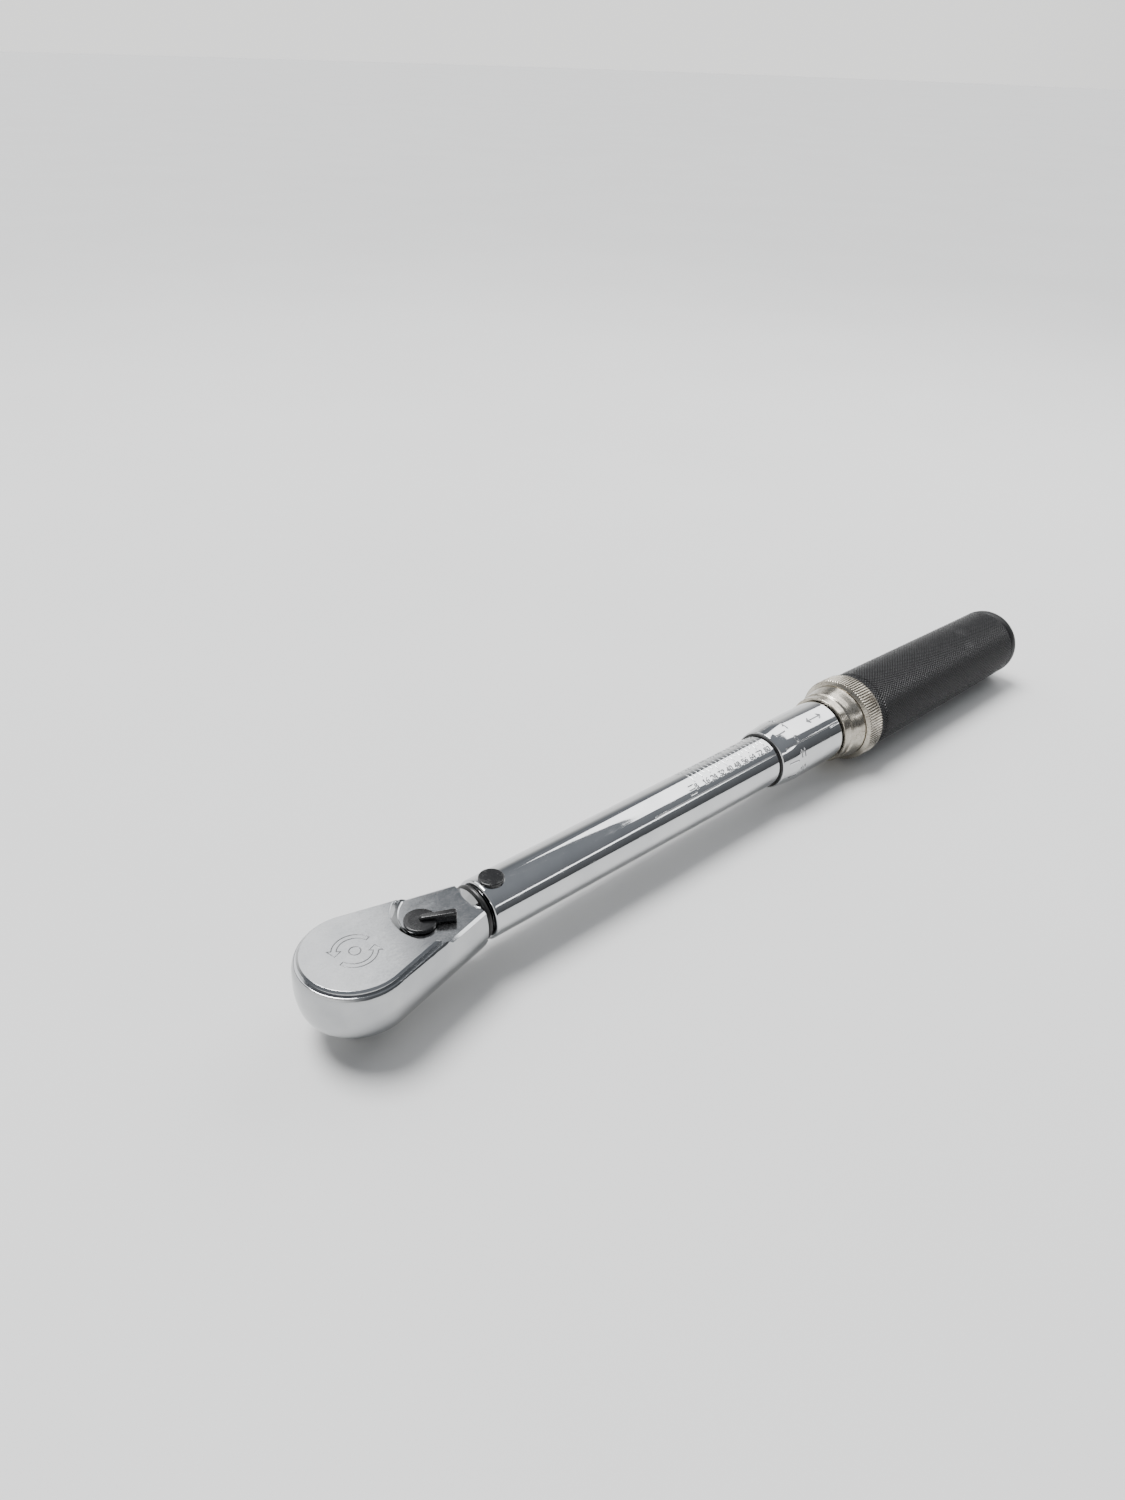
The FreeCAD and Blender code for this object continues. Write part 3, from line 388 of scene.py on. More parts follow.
def make_thimble():
    """Thimble with its sleeve; the bars and numbers are stamped in."""
    spans = []
    for division in range(DIVISIONS):
        angle = ZERO_LINE_ANGLE + division * 360 / DIVISIONS
        spans.append((angle - 1.6, angle + 14.5))
    spans[0] = (spans[0][0], ZERO_LINE_ANGLE + 28.0)
    angles = dense_angles(spans, 0.75, 3.5)
    x0, x1 = THIMBLE_X0, THIMBLE_X1
    nose = rounded([(x0 + 8, THIMBLE_BORE_R, 0), (x0 + 1.6, THIMBLE_BORE_R, 0.1),
                    (x0 + 1.6, THIMBLE_NOSE_R - 0.02, 0.1), (x0, THIMBLE_NOSE_R - 0.02, 0.05),
                    (x0 + 0.3, THIMBLE_NOSE_R + 0.4, 0.3), (x0 + 2.6, THIMBLE_NOSE_R + 0.75, 0)])
    start, end = x0 + 2.7, x1 - 5.4
    swell = []
    for x in stations(start, end, 0.135):
        t = min(1.0, (x - start) / (x0 + THIMBLE_TAPER - start))
        swell.append((x, THIMBLE_SWELL_R + (THIMBLE_R - THIMBLE_SWELL_R) * math.sin(t * math.pi / 2)))
    rear = rounded([(x1 - 5.2, THIMBLE_R, 0), (x1, THIMBLE_R, 0.45), (x1, SLEEVE_R, 0.05),
                    (thimble_high.x, SLEEVE_R, 0.2), (thimble_high.x, THIMBLE_BORE_R, 0.1),
                    (thimble_high.x - 20, THIMBLE_BORE_R, 0)])
    profile = np.vstack([nose, swell, rear])
    x = profile[:, :1]
    s = np.radians(angles)[None, :] * THIMBLE_R
    depth = stroke_depth(x, s, thimble_marks(THIMBLE_R), LINE_HALF_WIDTH + 0.06)
    outside = (profile[:, 1:] > THIMBLE_NOSE_R + 0.3) & (x > x0 + 1) & (x < x1 - 0.8)
    radius = profile[:, 1:] - depth * ENGRAVING_DEPTH * 1.5 * outside
    points = around_tube(x, radius, angles)
    piece = make_object("engraved_thimble", points, grid_faces(len(profile), len(angles), True))
    return with_attribute(piece, "mark", depth * outside)


# ---- lock ring and grip ----------------------------------------------------------------------
def make_lock_ring():
    """Sliding ring: hub, coved flare, grooved flange with a bevel and a straight-knurled band."""
    x0, x1 = ring_low.x, ring_high.x
    root = RING_ROOT_R
    hub_and_cove = [
        (x0, RING_BORE_R + 0.32, 0), (x0, RING_HUB_R, 0.35), (x0 + 3.5, RING_HUB_R, 0.12),
        (x0 + 4.1, 13.2, 0.3), (x0 + 6.6, 13.6, 1.2), (x0 + 8.8, 14.1, 0.8), (x0 + 9.9, 14.3, 0.15),
    ]
    groove_and_bevel = [
        (x0 + 10.0, 13.95, 0.06), (x0 + 10.5, 13.95, 0.06), (x0 + 10.5, 14.5, 0.12),
        (x0 + 11.35, root, 0.1), (x0 + 11.6, root + 0.1, 0.05),
    ]
    band = [
        (x0 + 12.4, root, 0), (x1 - 1.2, root, 0), (x1 - 0.3, root, 0.2), (x1, root - 0.25, 0.15),
    ]
    inside = [
        (x1, RING_SKIRT_R, 0.1), (x1 - 5.1, RING_SKIRT_R, 0.2), (x1 - 5.1, RING_SPRING_R, 0.1),
        (x0 + 6.6, RING_SPRING_R, 0.1), (x0 + 6.6, RING_BORE_R, 0.1), (x0 + 4.4, RING_BORE_R, 0.1),
        (x0 + 4.2, RING_BORE_R + 0.32, 0),
    ]
    profile = rounded(hub_and_cove + groove_and_bevel + band + inside)
    per_tooth = 8
    segments = RING_TEETH * per_tooth
    angles = np.arange(segments) * 360.0 / segments
    wave = 0.5 + 0.5 * np.cos(np.arange(segments) * 2 * math.pi / per_tooth)
    tooth = np.clip(wave * 1.5 - 0.15, 0, 1)[None, :]
    x, r = profile[:, :1], profile[:, 1:]
    on_band = (x > x0 + RING_BAND_START) & (r > root - 0.2)
    ends = np.clip((x - x0 - RING_BAND_START) / 0.5, 0, 1) * np.clip((x1 + 0.02 - x) / 0.5, 0, 1)
    radius = r + on_band * ends * tooth * (RING_TIP_R - root) - on_band * (1 - tooth) * 0.04
    points = around_tube(x, np.minimum(radius, RING_TIP_R), angles)
    piece = make_object("knurled_lock_ring", points, grid_faces(len(profile), segments, True), 50.0)
    # groove: how far each point lies in a tooth's groove, used for the painted shade there
    return with_attribute(piece, "groove", on_band * ends * (1 - tooth))


def grip_radius(x):
    """Outer radius of the grip's crests along its slightly tapered length."""
    start, end = grip_low.x + GRIP_COLLAR, grip_high.x - GRIP_ROUNDING
    along = np.clip((x - start) / (end - start), 0, 1)
    rise = np.clip((x - (start - GRIP_STEP)) / GRIP_STEP, 0, 1)
    return GRIP_FRONT_R + (GRIP_R - GRIP_FRONT_R) * rise + (GRIP_END_R - GRIP_R) * along


def grip_front():
    """Profile of the bore's mouth and the plain front rim, up to the first grooves."""
    x0 = grip_low.x
    return rounded([(x0 + 20, SLEEVE_R, 0), (x0, SLEEVE_R, 0.2), (x0, GRIP_FRONT_R, 0.4),
                    (KNURL_X0 - 0.3, GRIP_FRONT_R, 0.1),
                    (KNURL_X0 - 0.15, GRIP_FRONT_R - KNURL_DEPTH, 0)])


def grip_end():
    """Profile of the rounded end and of the seat for the end cap, from the last grooves."""
    x1 = grip_high.x
    crest_r = grip_radius(KNURL_X1)
    profile = [(KNURL_X1 + 0.15, crest_r - KNURL_DEPTH), (KNURL_X1 + 0.35, crest_r - 0.1)]
    for degrees in range(0, 100, 10):
        a = math.radians(degrees)
        profile.append((x1 - GRIP_ROUNDING + GRIP_ROUNDING * math.sin(a),
                        GRIP_END_R - GRIP_ROUNDING_FALL * (1 - math.cos(a))))
    seat_x = x1 - CAP_SEAT_DEPTH
    profile += [(x1, CAP_SEAT_R + 0.35), (x1 - 0.15, CAP_SEAT_R), (x1 - 0.6, CAP_SEAT_R),
                (seat_x, CAP_SEAT_R), (seat_x, CAP_SEAT_R - 1.0)]
    return np.array(profile)


def knurl_crossings(start):
    """Points where the grooves cross, and their numbers: row k holds the half steps of k's parity."""
    points, crossing = [], {}
    for row in range(KNURL_ROWS + 2):
        x = KNURL_X0 + row * HALF_PITCH
        groove_r = grip_radius(x) - KNURL_DEPTH
        for b in range(row % 2, HALF_STEPS, 2):
            crossing[row, b] = start + len(points)
            points.append(point_on_tube(x, groove_r, b * HALF_STEP))
    return points, crossing


def knurl_diamonds(start, crossing):
    """Truncated pyramids between the crossings, each worn a little."""
    dice = random.Random(SEED)
    points, faces = [], []
    for row in range(1, KNURL_ROWS + 1):
        x = KNURL_X0 + row * HALF_PITCH
        crest_r = grip_radius(x)
        for b in range((row + 1) % 2, HALF_STEPS, 2):
            r = crest_r - dice.random() * KNURL_WEAR
            top = [start + len(points) + k for k in range(4)]
            for dx, db in ((-1, 0), (0, 1), (1, 0), (0, -1)):
                corner_x = x + dx * KNURL_CREST * HALF_PITCH
                points.append(point_on_tube(corner_x, r, (b + db * KNURL_CREST) * HALF_STEP))
            outer = [crossing[row - 1, b], crossing[row, (b + 1) % HALF_STEPS],
                     crossing[row + 1, b], crossing[row, (b - 1) % HALF_STEPS]]
            faces.append(tuple(top))
            for k in range(4):
                faces.append((outer[k], outer[(k + 1) % 4], top[(k + 1) % 4], top[k]))
    return points, faces


def make_grip():
    """Grip with a plain front rim, a diamond knurl of truncated pyramids and a rounded end."""
    angles = np.arange(HALF_STEPS) * HALF_STEP
    front, end = grip_front(), grip_end()
    front_points = around_tube(front[:, :1], front[:, 1:], angles)
    end_points = around_tube(end[:, :1], end[:, 1:], angles)
    grooves, crossing = knurl_crossings(len(front_points))
    diamond_start = len(front_points) + len(grooves)
    diamonds, diamond_faces = knurl_diamonds(diamond_start, crossing)
    end_start = diamond_start + len(diamonds)
    faces = grid_faces(len(front), HALF_STEPS) + diamond_faces
    faces += grid_faces(len(end), HALF_STEPS, start=end_start)
    # the zigzag of crossings at each end joins the plain rings
    front_ring = (len(front) - 1) * HALF_STEPS
    last = KNURL_ROWS + 1
    for b in range(HALF_STEPS):
        beside = (b + 1) % HALF_STEPS
        low = [crossing[b % 2, b], crossing[beside % 2, beside]]
        faces.append((front_ring + b, front_ring + beside, low[1], low[0]))
        high = [crossing[last - (b + last) % 2, b], crossing[last - (beside + last) % 2, beside]]
        faces.append((high[0], high[1], end_start + beside, end_start + b))
    # the bore joins the end cap's seat to the front
    back_ring = end_start + (len(end) - 1) * HALF_STEPS
    for b in range(HALF_STEPS):
        beside = (b + 1) % HALF_STEPS
        faces.append((back_ring + b, back_ring + beside, beside, b))
    points = np.vstack([front_points, *grooves, *diamonds, end_points])
    crest = np.zeros(len(points))
    crest[diamond_start:end_start] = 1
    return with_attribute(make_object("knurled_grip", points, faces, 20.0), "crest", crest)


# ---- lever, caps and seals -------------------------------------------------------------------
def fin_outline(inset, points_per_end=12):
    """Plan of the thumb fin along +X from the hub: slim at the hub and full at the tip."""
    # which way each end faces, then its centre, radius and how square it is
    ends = ((0, FIN_END_X, FIN_OUTER_R - inset, 0.72),
            (180, FIN_START_X + inset, FIN_INNER_R - inset, 1.0))
    outline = []
    for facing, x, r, squareness in ends:
        for k in range(points_per_end + 1):
            a = math.radians(facing - 90 + 180 * k / points_per_end)
            u, v = math.cos(a), math.sin(a)
            outline.append((x + r * math.copysign(abs(u) ** squareness, u),
                            r * math.copysign(abs(v) ** squareness, v)))
    return np.array(outline)


def make_lever():
    """Reversing lever: dished hub on its stem, with the raised thumb fin."""
    hub = rounded([(0.05, STEM_BOTTOM, 0), (STEM_R, STEM_BOTTOM, 0.3), (STEM_R, HUB_BOTTOM, 0.1),
                   (HUB_R, HUB_BOTTOM, 0.2), (HUB_R, HUB_TOP - 0.08, 0.32), (3.4, HUB_TOP - 0.01, 1.0),
                   (0.05, HUB_TOP, 0)])
    points = [upright_rows(hub, 0.0)]
    faces = grid_faces(len(hub), ROUND_SEGMENTS)
    # inset and height of each outline of the fin; its back dips towards the hub
    levels = ((0.12, 25.7), (0.0, 25.95), (0.02, 27.9), (0.07, 28.15), (0.17, 28.34), (0.31, 28.45),
              (0.5, 28.5))
    start = len(hub) * ROUND_SEGMENTS
    count = len(fin_outline(0))
    for inset, z in levels:
        outline = fin_outline(inset)
        dip = FIN_DIP * np.clip(1 - outline[:, 0] / 5.0, 0, 1) if z > 27 else 0 * outline[:, 0]
        points.append(np.column_stack([outline, z - dip]))
    faces += grid_faces(len(levels), count, start=start)
    faces.append(tuple(start + k for k in reversed(range(count))))
    faces.append(tuple(start + (len(levels) - 1) * count + k for k in range(count)))
    points = np.vstack(points)
    turned = points.copy()
    cosine, sine = math.cos(LEVER_REST_ANGLE), math.sin(LEVER_REST_ANGLE)
    turned[:, 0] = HUB_X + points[:, 0] * cosine - points[:, 1] * sine
    turned[:, 1] = points[:, 0] * sine + points[:, 1] * cosine
    return make_object("moulded_lever", turned, faces, 30.0)


def make_pin_caps():
    """Two flat push-in caps over the pivot pin, slightly crowned."""
    points, faces = [], []
    for side in (1, -1):
        profile = rounded([(0.05, PIN_CAP_BACK, 0), (PIN_CAP_R, PIN_CAP_BACK, 0.1),
                           (PIN_CAP_R, PIN_CAP_FACE - 0.1, 0.35), (3.0, PIN_CAP_FACE - 0.06, 0.6),
                           (0.05, PIN_CAP_FACE, 0)])
        profile = np.column_stack([profile[:, 0], AXIS_Z + side * profile[:, 1]])
        cap = upright_rows(profile, PIN_X)
        cap_faces = grid_faces(len(profile), ROUND_SEGMENTS, start=sum(len(p) for p in points))
        points.append(cap)
        faces += cap_faces if side > 0 else [face[::-1] for face in cap_faces]
    return make_object("moulded_pin_caps", np.vstack(points), faces, 30.0)


def make_neck_seal():
    """Rubber ring round the neck with a fine moulding line and a little unevenness."""
    x = (seal_low.x + seal_high.x) / 2
    wire = (seal_high.x - seal_low.x) / 2
    ring_r = (seal_high.z - seal_low.z) / 2 - wire
    rows, segments = 40, 240
    around = np.arange(rows) * 2 * math.pi / rows
    angles = np.arange(segments) * 360.0 / segments
    lip_height, wobble = 0.03, 0.01
    lip = lip_height * np.exp(-((around - math.pi / 2) / 0.06) ** 2)
    radius = (wire - lip_height + lip)[:, None] + wobble * np.sin(np.radians(angles) * 5)[None, :]
    section_x = x + radius * np.cos(around)[:, None]
    section_r = ring_r + radius * np.sin(around)[:, None]
    points = around_tube(section_x, section_r, angles)
    return make_object("rubber_neck_ring", points, grid_faces(rows, segments, True))


def line_strip(name, lines, z, half_width, height):
    """Fine raised lines on the front plate, each a strip with a rounded back, from plan polylines."""
    section = [(-1.0, -0.6), (-0.72, 0.55), (-0.3, 0.95), (0.3, 0.95), (0.72, 0.55), (1.0, -0.6)]
    points, faces = [], []
    for line, closed in lines:
        start = len(points)
        plan = [Vector(p) for p in line]
        count = len(plan)
        for k, p in enumerate(plan):
            before = plan[k - 1] if closed or k else plan[0]
            after = plan[(k + 1) % count] if closed or k < count - 1 else plan[-1]
            ahead = (after - before).normalized()
            across = Vector((-ahead.y, ahead.x))
            for u, v in section:
                offset = across * (u * half_width)
                points.append((p.x + offset.x, p.y + offset.y, z + v * height))
        width = len(section)
        for k in range(count if closed else count - 1):
            here, there = start + k * width, start + ((k + 1) % count) * width
            for j in range(width - 1):
                faces.append((here + j, there + j, there + j + 1, here + j + 1))
        if not closed:
            faces.append(tuple(start + j for j in range(width)))
            faces.append(tuple(start + (count - 1) * width + j for j in reversed(range(width))))
    return make_object(name, points, faces, 60.0)


def plan_point(radius, degrees):
    """Point of the front plate's plan, about the drive's axis."""
    return radius * math.cos(math.radians(degrees)), radius * math.sin(math.radians(degrees))


def arc_line(radius, low, high, count):
    """Points along an arc about the drive's axis."""
    return [plan_point(radius, degrees) for degrees in np.linspace(low, high, count)]


def make_direction_mark():
    """Generic turning-direction mark on the front plate: two curved arrows round a small ring."""
    lines = [(arc_line(MARK_RING_R, 0, 345, 24), True)]
    outer_r, inner_r = ARROW_R + ARROW_HALF_WIDTH, ARROW_R - ARROW_HALF_WIDTH
    for start in (20, 200):
        neck = start + ARROW_SWEEP
        head = [plan_point(outer_r, neck), plan_point(ARROW_R + ARROW_HEAD_HALF_WIDTH, neck),
                plan_point(ARROW_R, neck + ARROW_HEAD_SWEEP),
                plan_point(ARROW_R - ARROW_HEAD_HALF_WIDTH, neck), plan_point(inner_r, neck)]
        lines.append((arc_line(outer_r, start, neck, 40), False))
        lines.append((arc_line(inner_r, start, neck, 32), False))
        lines.append((head, False))
        lines.append(([plan_point(outer_r, start), plan_point(inner_r, start)], False))
    return line_strip("direction_mark", lines, PLATE_Z, 0.2, 0.08)


# ---- materials -------------------------------------------------------------------------------
class Paint:
    """One node material: helpers add nodes, and plain values stay on the shader's own sockets."""

    def __init__(self, name, colour, metallic, roughness, **values):
        self.material = bpy.data.materials.new(name)
        self.material.use_nodes = True
        self.tree = self.material.node_tree
        self.shader = self.tree.nodes["Principled BSDF"]
        self.shader.inputs["Base Color"].default_value = (*colour, 1)
        self.shader.inputs["Metallic"].default_value = metallic
        self.shader.inputs["Roughness"].default_value = roughness
        for socket, value in values.items():
            self.shader.inputs[socket.replace("_", " ")].default_value = value
        self.place = self.node("ShaderNodeTexCoord").outputs["Object"]

    def node(self, kind, **settings):
        """New node with its settings."""
        made = self.tree.nodes.new(kind)
        for key, value in settings.items():
            setattr(made, key, value)
        return made

    def link(self, source, target):
        self.tree.links.new(source, target)

    def stretched(self, scale, rotation=(0, 0, 0)):
        """Object coordinates turned by degrees and scaled."""
        mapping = self.node("ShaderNodeMapping")
        mapping.inputs["Scale"].default_value = scale
        mapping.inputs["Rotation"].default_value = [math.radians(a) for a in rotation]
        self.link(self.place, mapping.inputs["Vector"])
        return mapping.outputs["Vector"]

    def noise(self, scale, detail=3.0, rough=0.55, vector=None):
        """Noise whose scale counts features per metre."""
        made = self.node("ShaderNodeTexNoise")
        made.inputs["Scale"].default_value = scale
        made.inputs["Detail"].default_value = detail
        made.inputs["Roughness"].default_value = rough
        self.link(vector or self.place, made.inputs["Vector"])
        return made.outputs["Fac"]

    def fit(self, value, low, high, to_low=0.0, to_high=1.0):
        """Maps low..high to to_low..to_high and clamps."""
        made = self.node("ShaderNodeMapRange")
        limits = {"From Min": low, "From Max": high, "To Min": to_low, "To Max": to_high}
        for socket, number in limits.items():
            made.inputs[socket].default_value = number
        self.link(value, made.inputs["Value"])
        return made.outputs["Result"]

    def math(self, operation, first, second):
        """Two numbers or sockets joined by an operation."""
        made = self.node("ShaderNodeMath", operation=operation)
        for socket, value in zip(made.inputs, (first, second)):
            if isinstance(value, (int, float)):
                socket.default_value = value
            else:
                self.link(value, socket)
        return made.outputs["Value"]

    def mix(self, share, first, second):
        """Colour between two colours or sockets, by share."""
        made = self.node("ShaderNodeMix", data_type="RGBA")
        self.link(share, made.inputs["Factor"])
        for socket, value in (("A", first), ("B", second)):
            target = [s for s in made.inputs if s.name == socket and s.type == "RGBA"][0]
            if isinstance(value, tuple):
                target.default_value = (*value, 1)
            else:
                self.link(value, target)
        return [s for s in made.outputs if s.type == "RGBA"][0]

    def colour(self, value):
        self.link(value, self.shader.inputs["Base Color"])

    def roughness(self, value):
        self.link(value, self.shader.inputs["Roughness"])

    def bump(self, height, distance):
        """Adds a bump layer under the ones already there; distance is in millimetres."""
        made = self.node("ShaderNodeBump")
        made.inputs["Strength"].default_value = 1.0
        made.inputs["Distance"].default_value = distance * MM
        self.link(height, made.inputs["Height"])
        normal = self.shader.inputs["Normal"]
        if normal.links:
            self.link(normal.links[0].from_socket, made.inputs["Normal"])
        self.link(made.outputs["Normal"], normal)

    def scratches(self, directions, threshold, width=0.03, along=60.0, across=4200.0):
        """Fine straight scratches at some angles, 0 to 1."""
        total = None
        for rotation in directions:
            lines = self.noise(1.0, 2.0, 0.6, self.stretched((along, across, across), rotation))
            lines = self.fit(lines, threshold, threshold + width)
            total = lines if total is None else self.math("MAXIMUM", total, lines)
        return total


def chrome(name, low, high, scratch_directions, threshold, tones):
    """Bright chrome plate: clouded roughness from handling, fine scratches and a slow polishing wave."""
    paint = Paint(name, (0.57, 0.575, 0.58), 1.0, low)
    clouds = paint.noise(260.0, 5.0, 0.62)
    smears = paint.noise(1.0, 4.0, 0.6, paint.stretched((90, 420, 420), (12, 0, 20)))
    mixed = paint.math("MULTIPLY", paint.fit(clouds, 0.35, 0.72), paint.fit(smears, 0.38, 0.66))
    marks = paint.scratches(scratch_directions, threshold)
    rough = paint.fit(mixed, 0.0, 1.0, low, high)
    rough = paint.math("ADD", rough, paint.math("MULTIPLY", marks, 0.10))
    paint.roughness(rough)
    tone = paint.noise(70.0, 3.0)
    paint.colour(paint.mix(paint.fit(tone, 0.3, 0.7), *tones))
    paint.bump(paint.noise(120.0, 2.0), 0.010)
    paint.bump(marks, -SCRATCH_DEPTH)
    return paint


def chrome_tube():
    """Tube and thimble chrome; the stamped marks are dull, and their colour is darkened as painted shade
    in the engravings.
    """
    paint = chrome("mirror_chrome", 0.035, 0.11, ((0, 0, 0), (0, 0, 14), (40, 10, -20)), 0.68, TUBE_TONES)
    mark = paint.node("ShaderNodeAttribute", attribute_name="mark").outputs["Fac"]
    smooth = paint.shader.inputs["Roughness"].links[0].from_socket
    paint.roughness(paint.math("ADD", smooth, paint.math("MULTIPLY", mark, 0.42)))
    plated = paint.shader.inputs["Base Color"].links[0].from_socket
    # painted shade: the stamped marks' colour is pulled towards dark grey
    paint.colour(paint.mix(paint.math("MULTIPLY", mark, 0.75), plated, (0.13, 0.13, 0.135)))
    paint.bump(paint.math("MULTIPLY", paint.noise(4200.0, 2.0), mark), 0.02)
    return paint.material


def chrome_head():
    """Head chrome: mirror-bright walls, and a scuffed flat top where sockets and benches rub it; its
    tones are darker than the tube's, as painted shade.
    """
    paint = chrome("head_chrome", 0.05, 0.13, ((0, 0, 15), (0, 0, -52)), 0.70, HEAD_SHADED_TONES)
    facing = paint.node("ShaderNodeSeparateXYZ")
    paint.link(paint.node("ShaderNodeNewGeometry").outputs["Normal"], facing.inputs["Vector"])
    flat = paint.fit(facing.outputs["Z"], 0.93, 0.995)
    mottle = paint.fit(paint.noise(1300.0, 6.0, 0.75), 0.3, 0.75, 0.04, 0.18)
    smooth = paint.shader.inputs["Roughness"].links[0].from_socket
    paint.roughness(paint.math("ADD", smooth, paint.math("MULTIPLY", flat, mottle)))
    pits = paint.fit(paint.noise(2600.0, 2.0), 0.66, 0.78)
    paint.bump(paint.math("MULTIPLY", pits, flat), -0.0015)
    return paint.material


def satin_nickel():
    """Warm satin nickel with a fine turned grain, a patchy handling film, and painted shade in the
    knurl's grooves.
    """
    paint = Paint("satin_nickel_finish", (0.66, 0.62, 0.55), 1.0, 0.28)
    grain = paint.noise(1.0, 3.0, 0.6, paint.stretched((5200, 260, 260)))
    film = paint.noise(420.0, 5.0, 0.65)
    toned = paint.mix(paint.fit(film, 0.36, 0.7), (0.50, 0.468, 0.405), (0.37, 0.34, 0.285))
    specks = paint.fit(paint.noise(1700.0, 5.0, 0.72), 0.50, 0.62)
    patches = paint.fit(paint.noise(150.0, 3.0), 0.38, 0.55)
    tarnish = paint.math("MULTIPLY", specks, patches)
    toned = paint.mix(paint.math("MULTIPLY", tarnish, 0.7), toned, (0.13, 0.105, 0.075))
    # painted shade: the knurl's grooves are darkened towards dark brown
    groove = paint.node("ShaderNodeAttribute", attribute_name="groove").outputs["Fac"]
    paint.colour(paint.mix(paint.math("MULTIPLY", groove, 0.85), toned, (0.075, 0.065, 0.05)))
    paint.roughness(paint.fit(paint.math("ADD", grain, film), 0.7, 1.3, 0.13, 0.28))
    paint.bump(grain, 0.003)
    paint.bump(tarnish, -0.006)
    return paint.material


def black_grip():
    """Black oxide on knurled steel: matte grooves, smoother crests coloured a little lighter than the
    grooves as a painted highlight, and a few worn patches.
    """
    paint = Paint("black_oxide_grip", (0.010, 0.010, 0.011), 0.0, 0.5, IOR=1.38)
    crest = paint.node("ShaderNodeAttribute", attribute_name="crest").outputs["Fac"]
    patches = paint.fit(paint.noise(55.0, 6.0, 0.7), 0.58, 0.70)
    worn = paint.math("MULTIPLY", crest, patches)
    speckle = paint.fit(paint.noise(3000.0, 3.0), 0.35, 0.7)
    # painted highlight: the crests' colour is a little lighter than the grooves'
    base = paint.mix(crest, (0.003, 0.003, 0.0035), (0.012, 0.012, 0.013))
    bare = paint.math("MULTIPLY", worn, paint.fit(speckle, 0, 1, 0.35, 0.9))
    paint.colour(paint.mix(bare, base, (0.11, 0.11, 0.11)))
    rough = paint.fit(speckle, 0, 1, 0.42, 0.56)
    paint.roughness(paint.math("SUBTRACT", rough, paint.math("MULTIPLY", crest, 0.12)))
    paint.bump(speckle, 0.006)
    return paint.material


def moulded_black(name, colour, roughness, grain_scale, grain_depth):
    """Moulded black plastic or rubber with a fine spark-eroded grain, dust and rubbed spots."""
    paint = Paint(name, colour, 0.0, roughness)
    grain = paint.noise(grain_scale, 3.0, 0.6)
    dust = paint.fit(paint.noise(380.0, 6.0, 0.72), 0.52, 0.78)
    pale = tuple(0.5 * c + 0.02 for c in colour)
    paint.colour(paint.mix(paint.math("MULTIPLY", dust, 0.45), colour, pale))
    paint.roughness(paint.fit(dust, 0.0, 1.0, roughness - 0.06, roughness + 0.16))
    paint.bump(grain, grain_depth)
    paint.bump(paint.scratches(((0, 0, 30), (0, 0, -50)), 0.66, 0.03, 120, 3600), -0.002)
    return paint.material


def bare_steel(name, colour, roughness, grain_scale):
    """Machined steel with tool grain, light oil staining and small nicks."""
    paint = Paint(name, colour, 1.0, roughness)
    grain = paint.noise(1.0, 3.0, 0.6, paint.stretched(grain_scale))
    stain = paint.noise(300.0, 5.0, 0.65)
    dark = tuple(0.62 * c for c in colour)
    paint.colour(paint.mix(paint.fit(stain, 0.42, 0.72), colour, dark))
    mottle = paint.math("ADD", grain, stain)
    paint.roughness(paint.fit(mottle, 0.7, 1.3, roughness - 0.08, roughness + 0.14))
    paint.bump(grain, 0.003)
    paint.bump(paint.fit(paint.noise(1500.0, 2.0), 0.68, 0.76), -0.006)
    return paint.material


def floor_paint():
    """Plain pale table, barely uneven in tone."""
    paint = Paint("pale_table", (0.66, 0.66, 0.655), 0.0, 0.6)
    tone = paint.noise(6.0, 2.0)
    paint.colour(paint.mix(paint.fit(tone, 0.3, 0.7), (0.65, 0.65, 0.645), (0.67, 0.67, 0.665)))
    return paint.material


def give(piece, material):
    """One material on the whole piece."""
    piece.data.materials.clear()
    piece.data.materials.append(material)
    return piece


def finish_piece(piece, material, body, slot, *replaced):
    """Gives a new piece its material and body, and hides the CAD nodes that it stands for; slot is not
    used.
    """
    give(piece, material)
    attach(piece, body)
    if replaced:
        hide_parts(*replaced)


def repaint(names, material):
    """A CAD node keeps its mesh and gets the material in its slots."""
    for name in names:
        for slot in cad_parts[name].material_slots:
            slot.material = material


# ---- studio ----------------------------------------------------------------------------------
def make_camera():
    """Close view from beyond the head's near side, looking down along the wrench."""
    data = bpy.data.cameras.new("camera")
    data.sensor_fit = "VERTICAL"
    data.sensor_width = data.sensor_height = CAMERA_SENSOR
    data.lens = CAMERA_LENS
    data.clip_start = 0.01
    right = Vector(CAMERA_RIGHT).normalized()
    ahead = right.cross(Vector(CAMERA_DOWN)).normalized()
    up = right.cross(ahead)
    x, y, z = CAMERA_PLACE
    camera = bpy.data.objects.new("camera", data)
    camera.matrix_world = Matrix((
        (right.x, up.x, -ahead.x, x),
        (right.y, up.y, -ahead.y, y),
        (right.z, up.z, -ahead.z, z),
        (0, 0, 0, 1),
    ))
    bpy.context.scene.collection.objects.link(camera)
    bpy.context.scene.camera = camera


def place_lamp(name, data, place, aim):
    """Lamp at a place, pointed at its aim."""
    lamp = bpy.data.objects.new(name, data)
    lamp.location = place
    lamp.rotation_euler = (Vector(aim) - Vector(place)).to_track_quat("-Z", "Y").to_euler()
    bpy.context.scene.collection.objects.link(lamp)


def softbox(name, place, aim, size, power):
    """Flat rectangular lamp."""
    data = bpy.data.lights.new(name, "AREA")
    data.shape = "RECTANGLE"
    data.size, data.size_y = size
    data.energy = power
    place_lamp(name, data, place, aim)


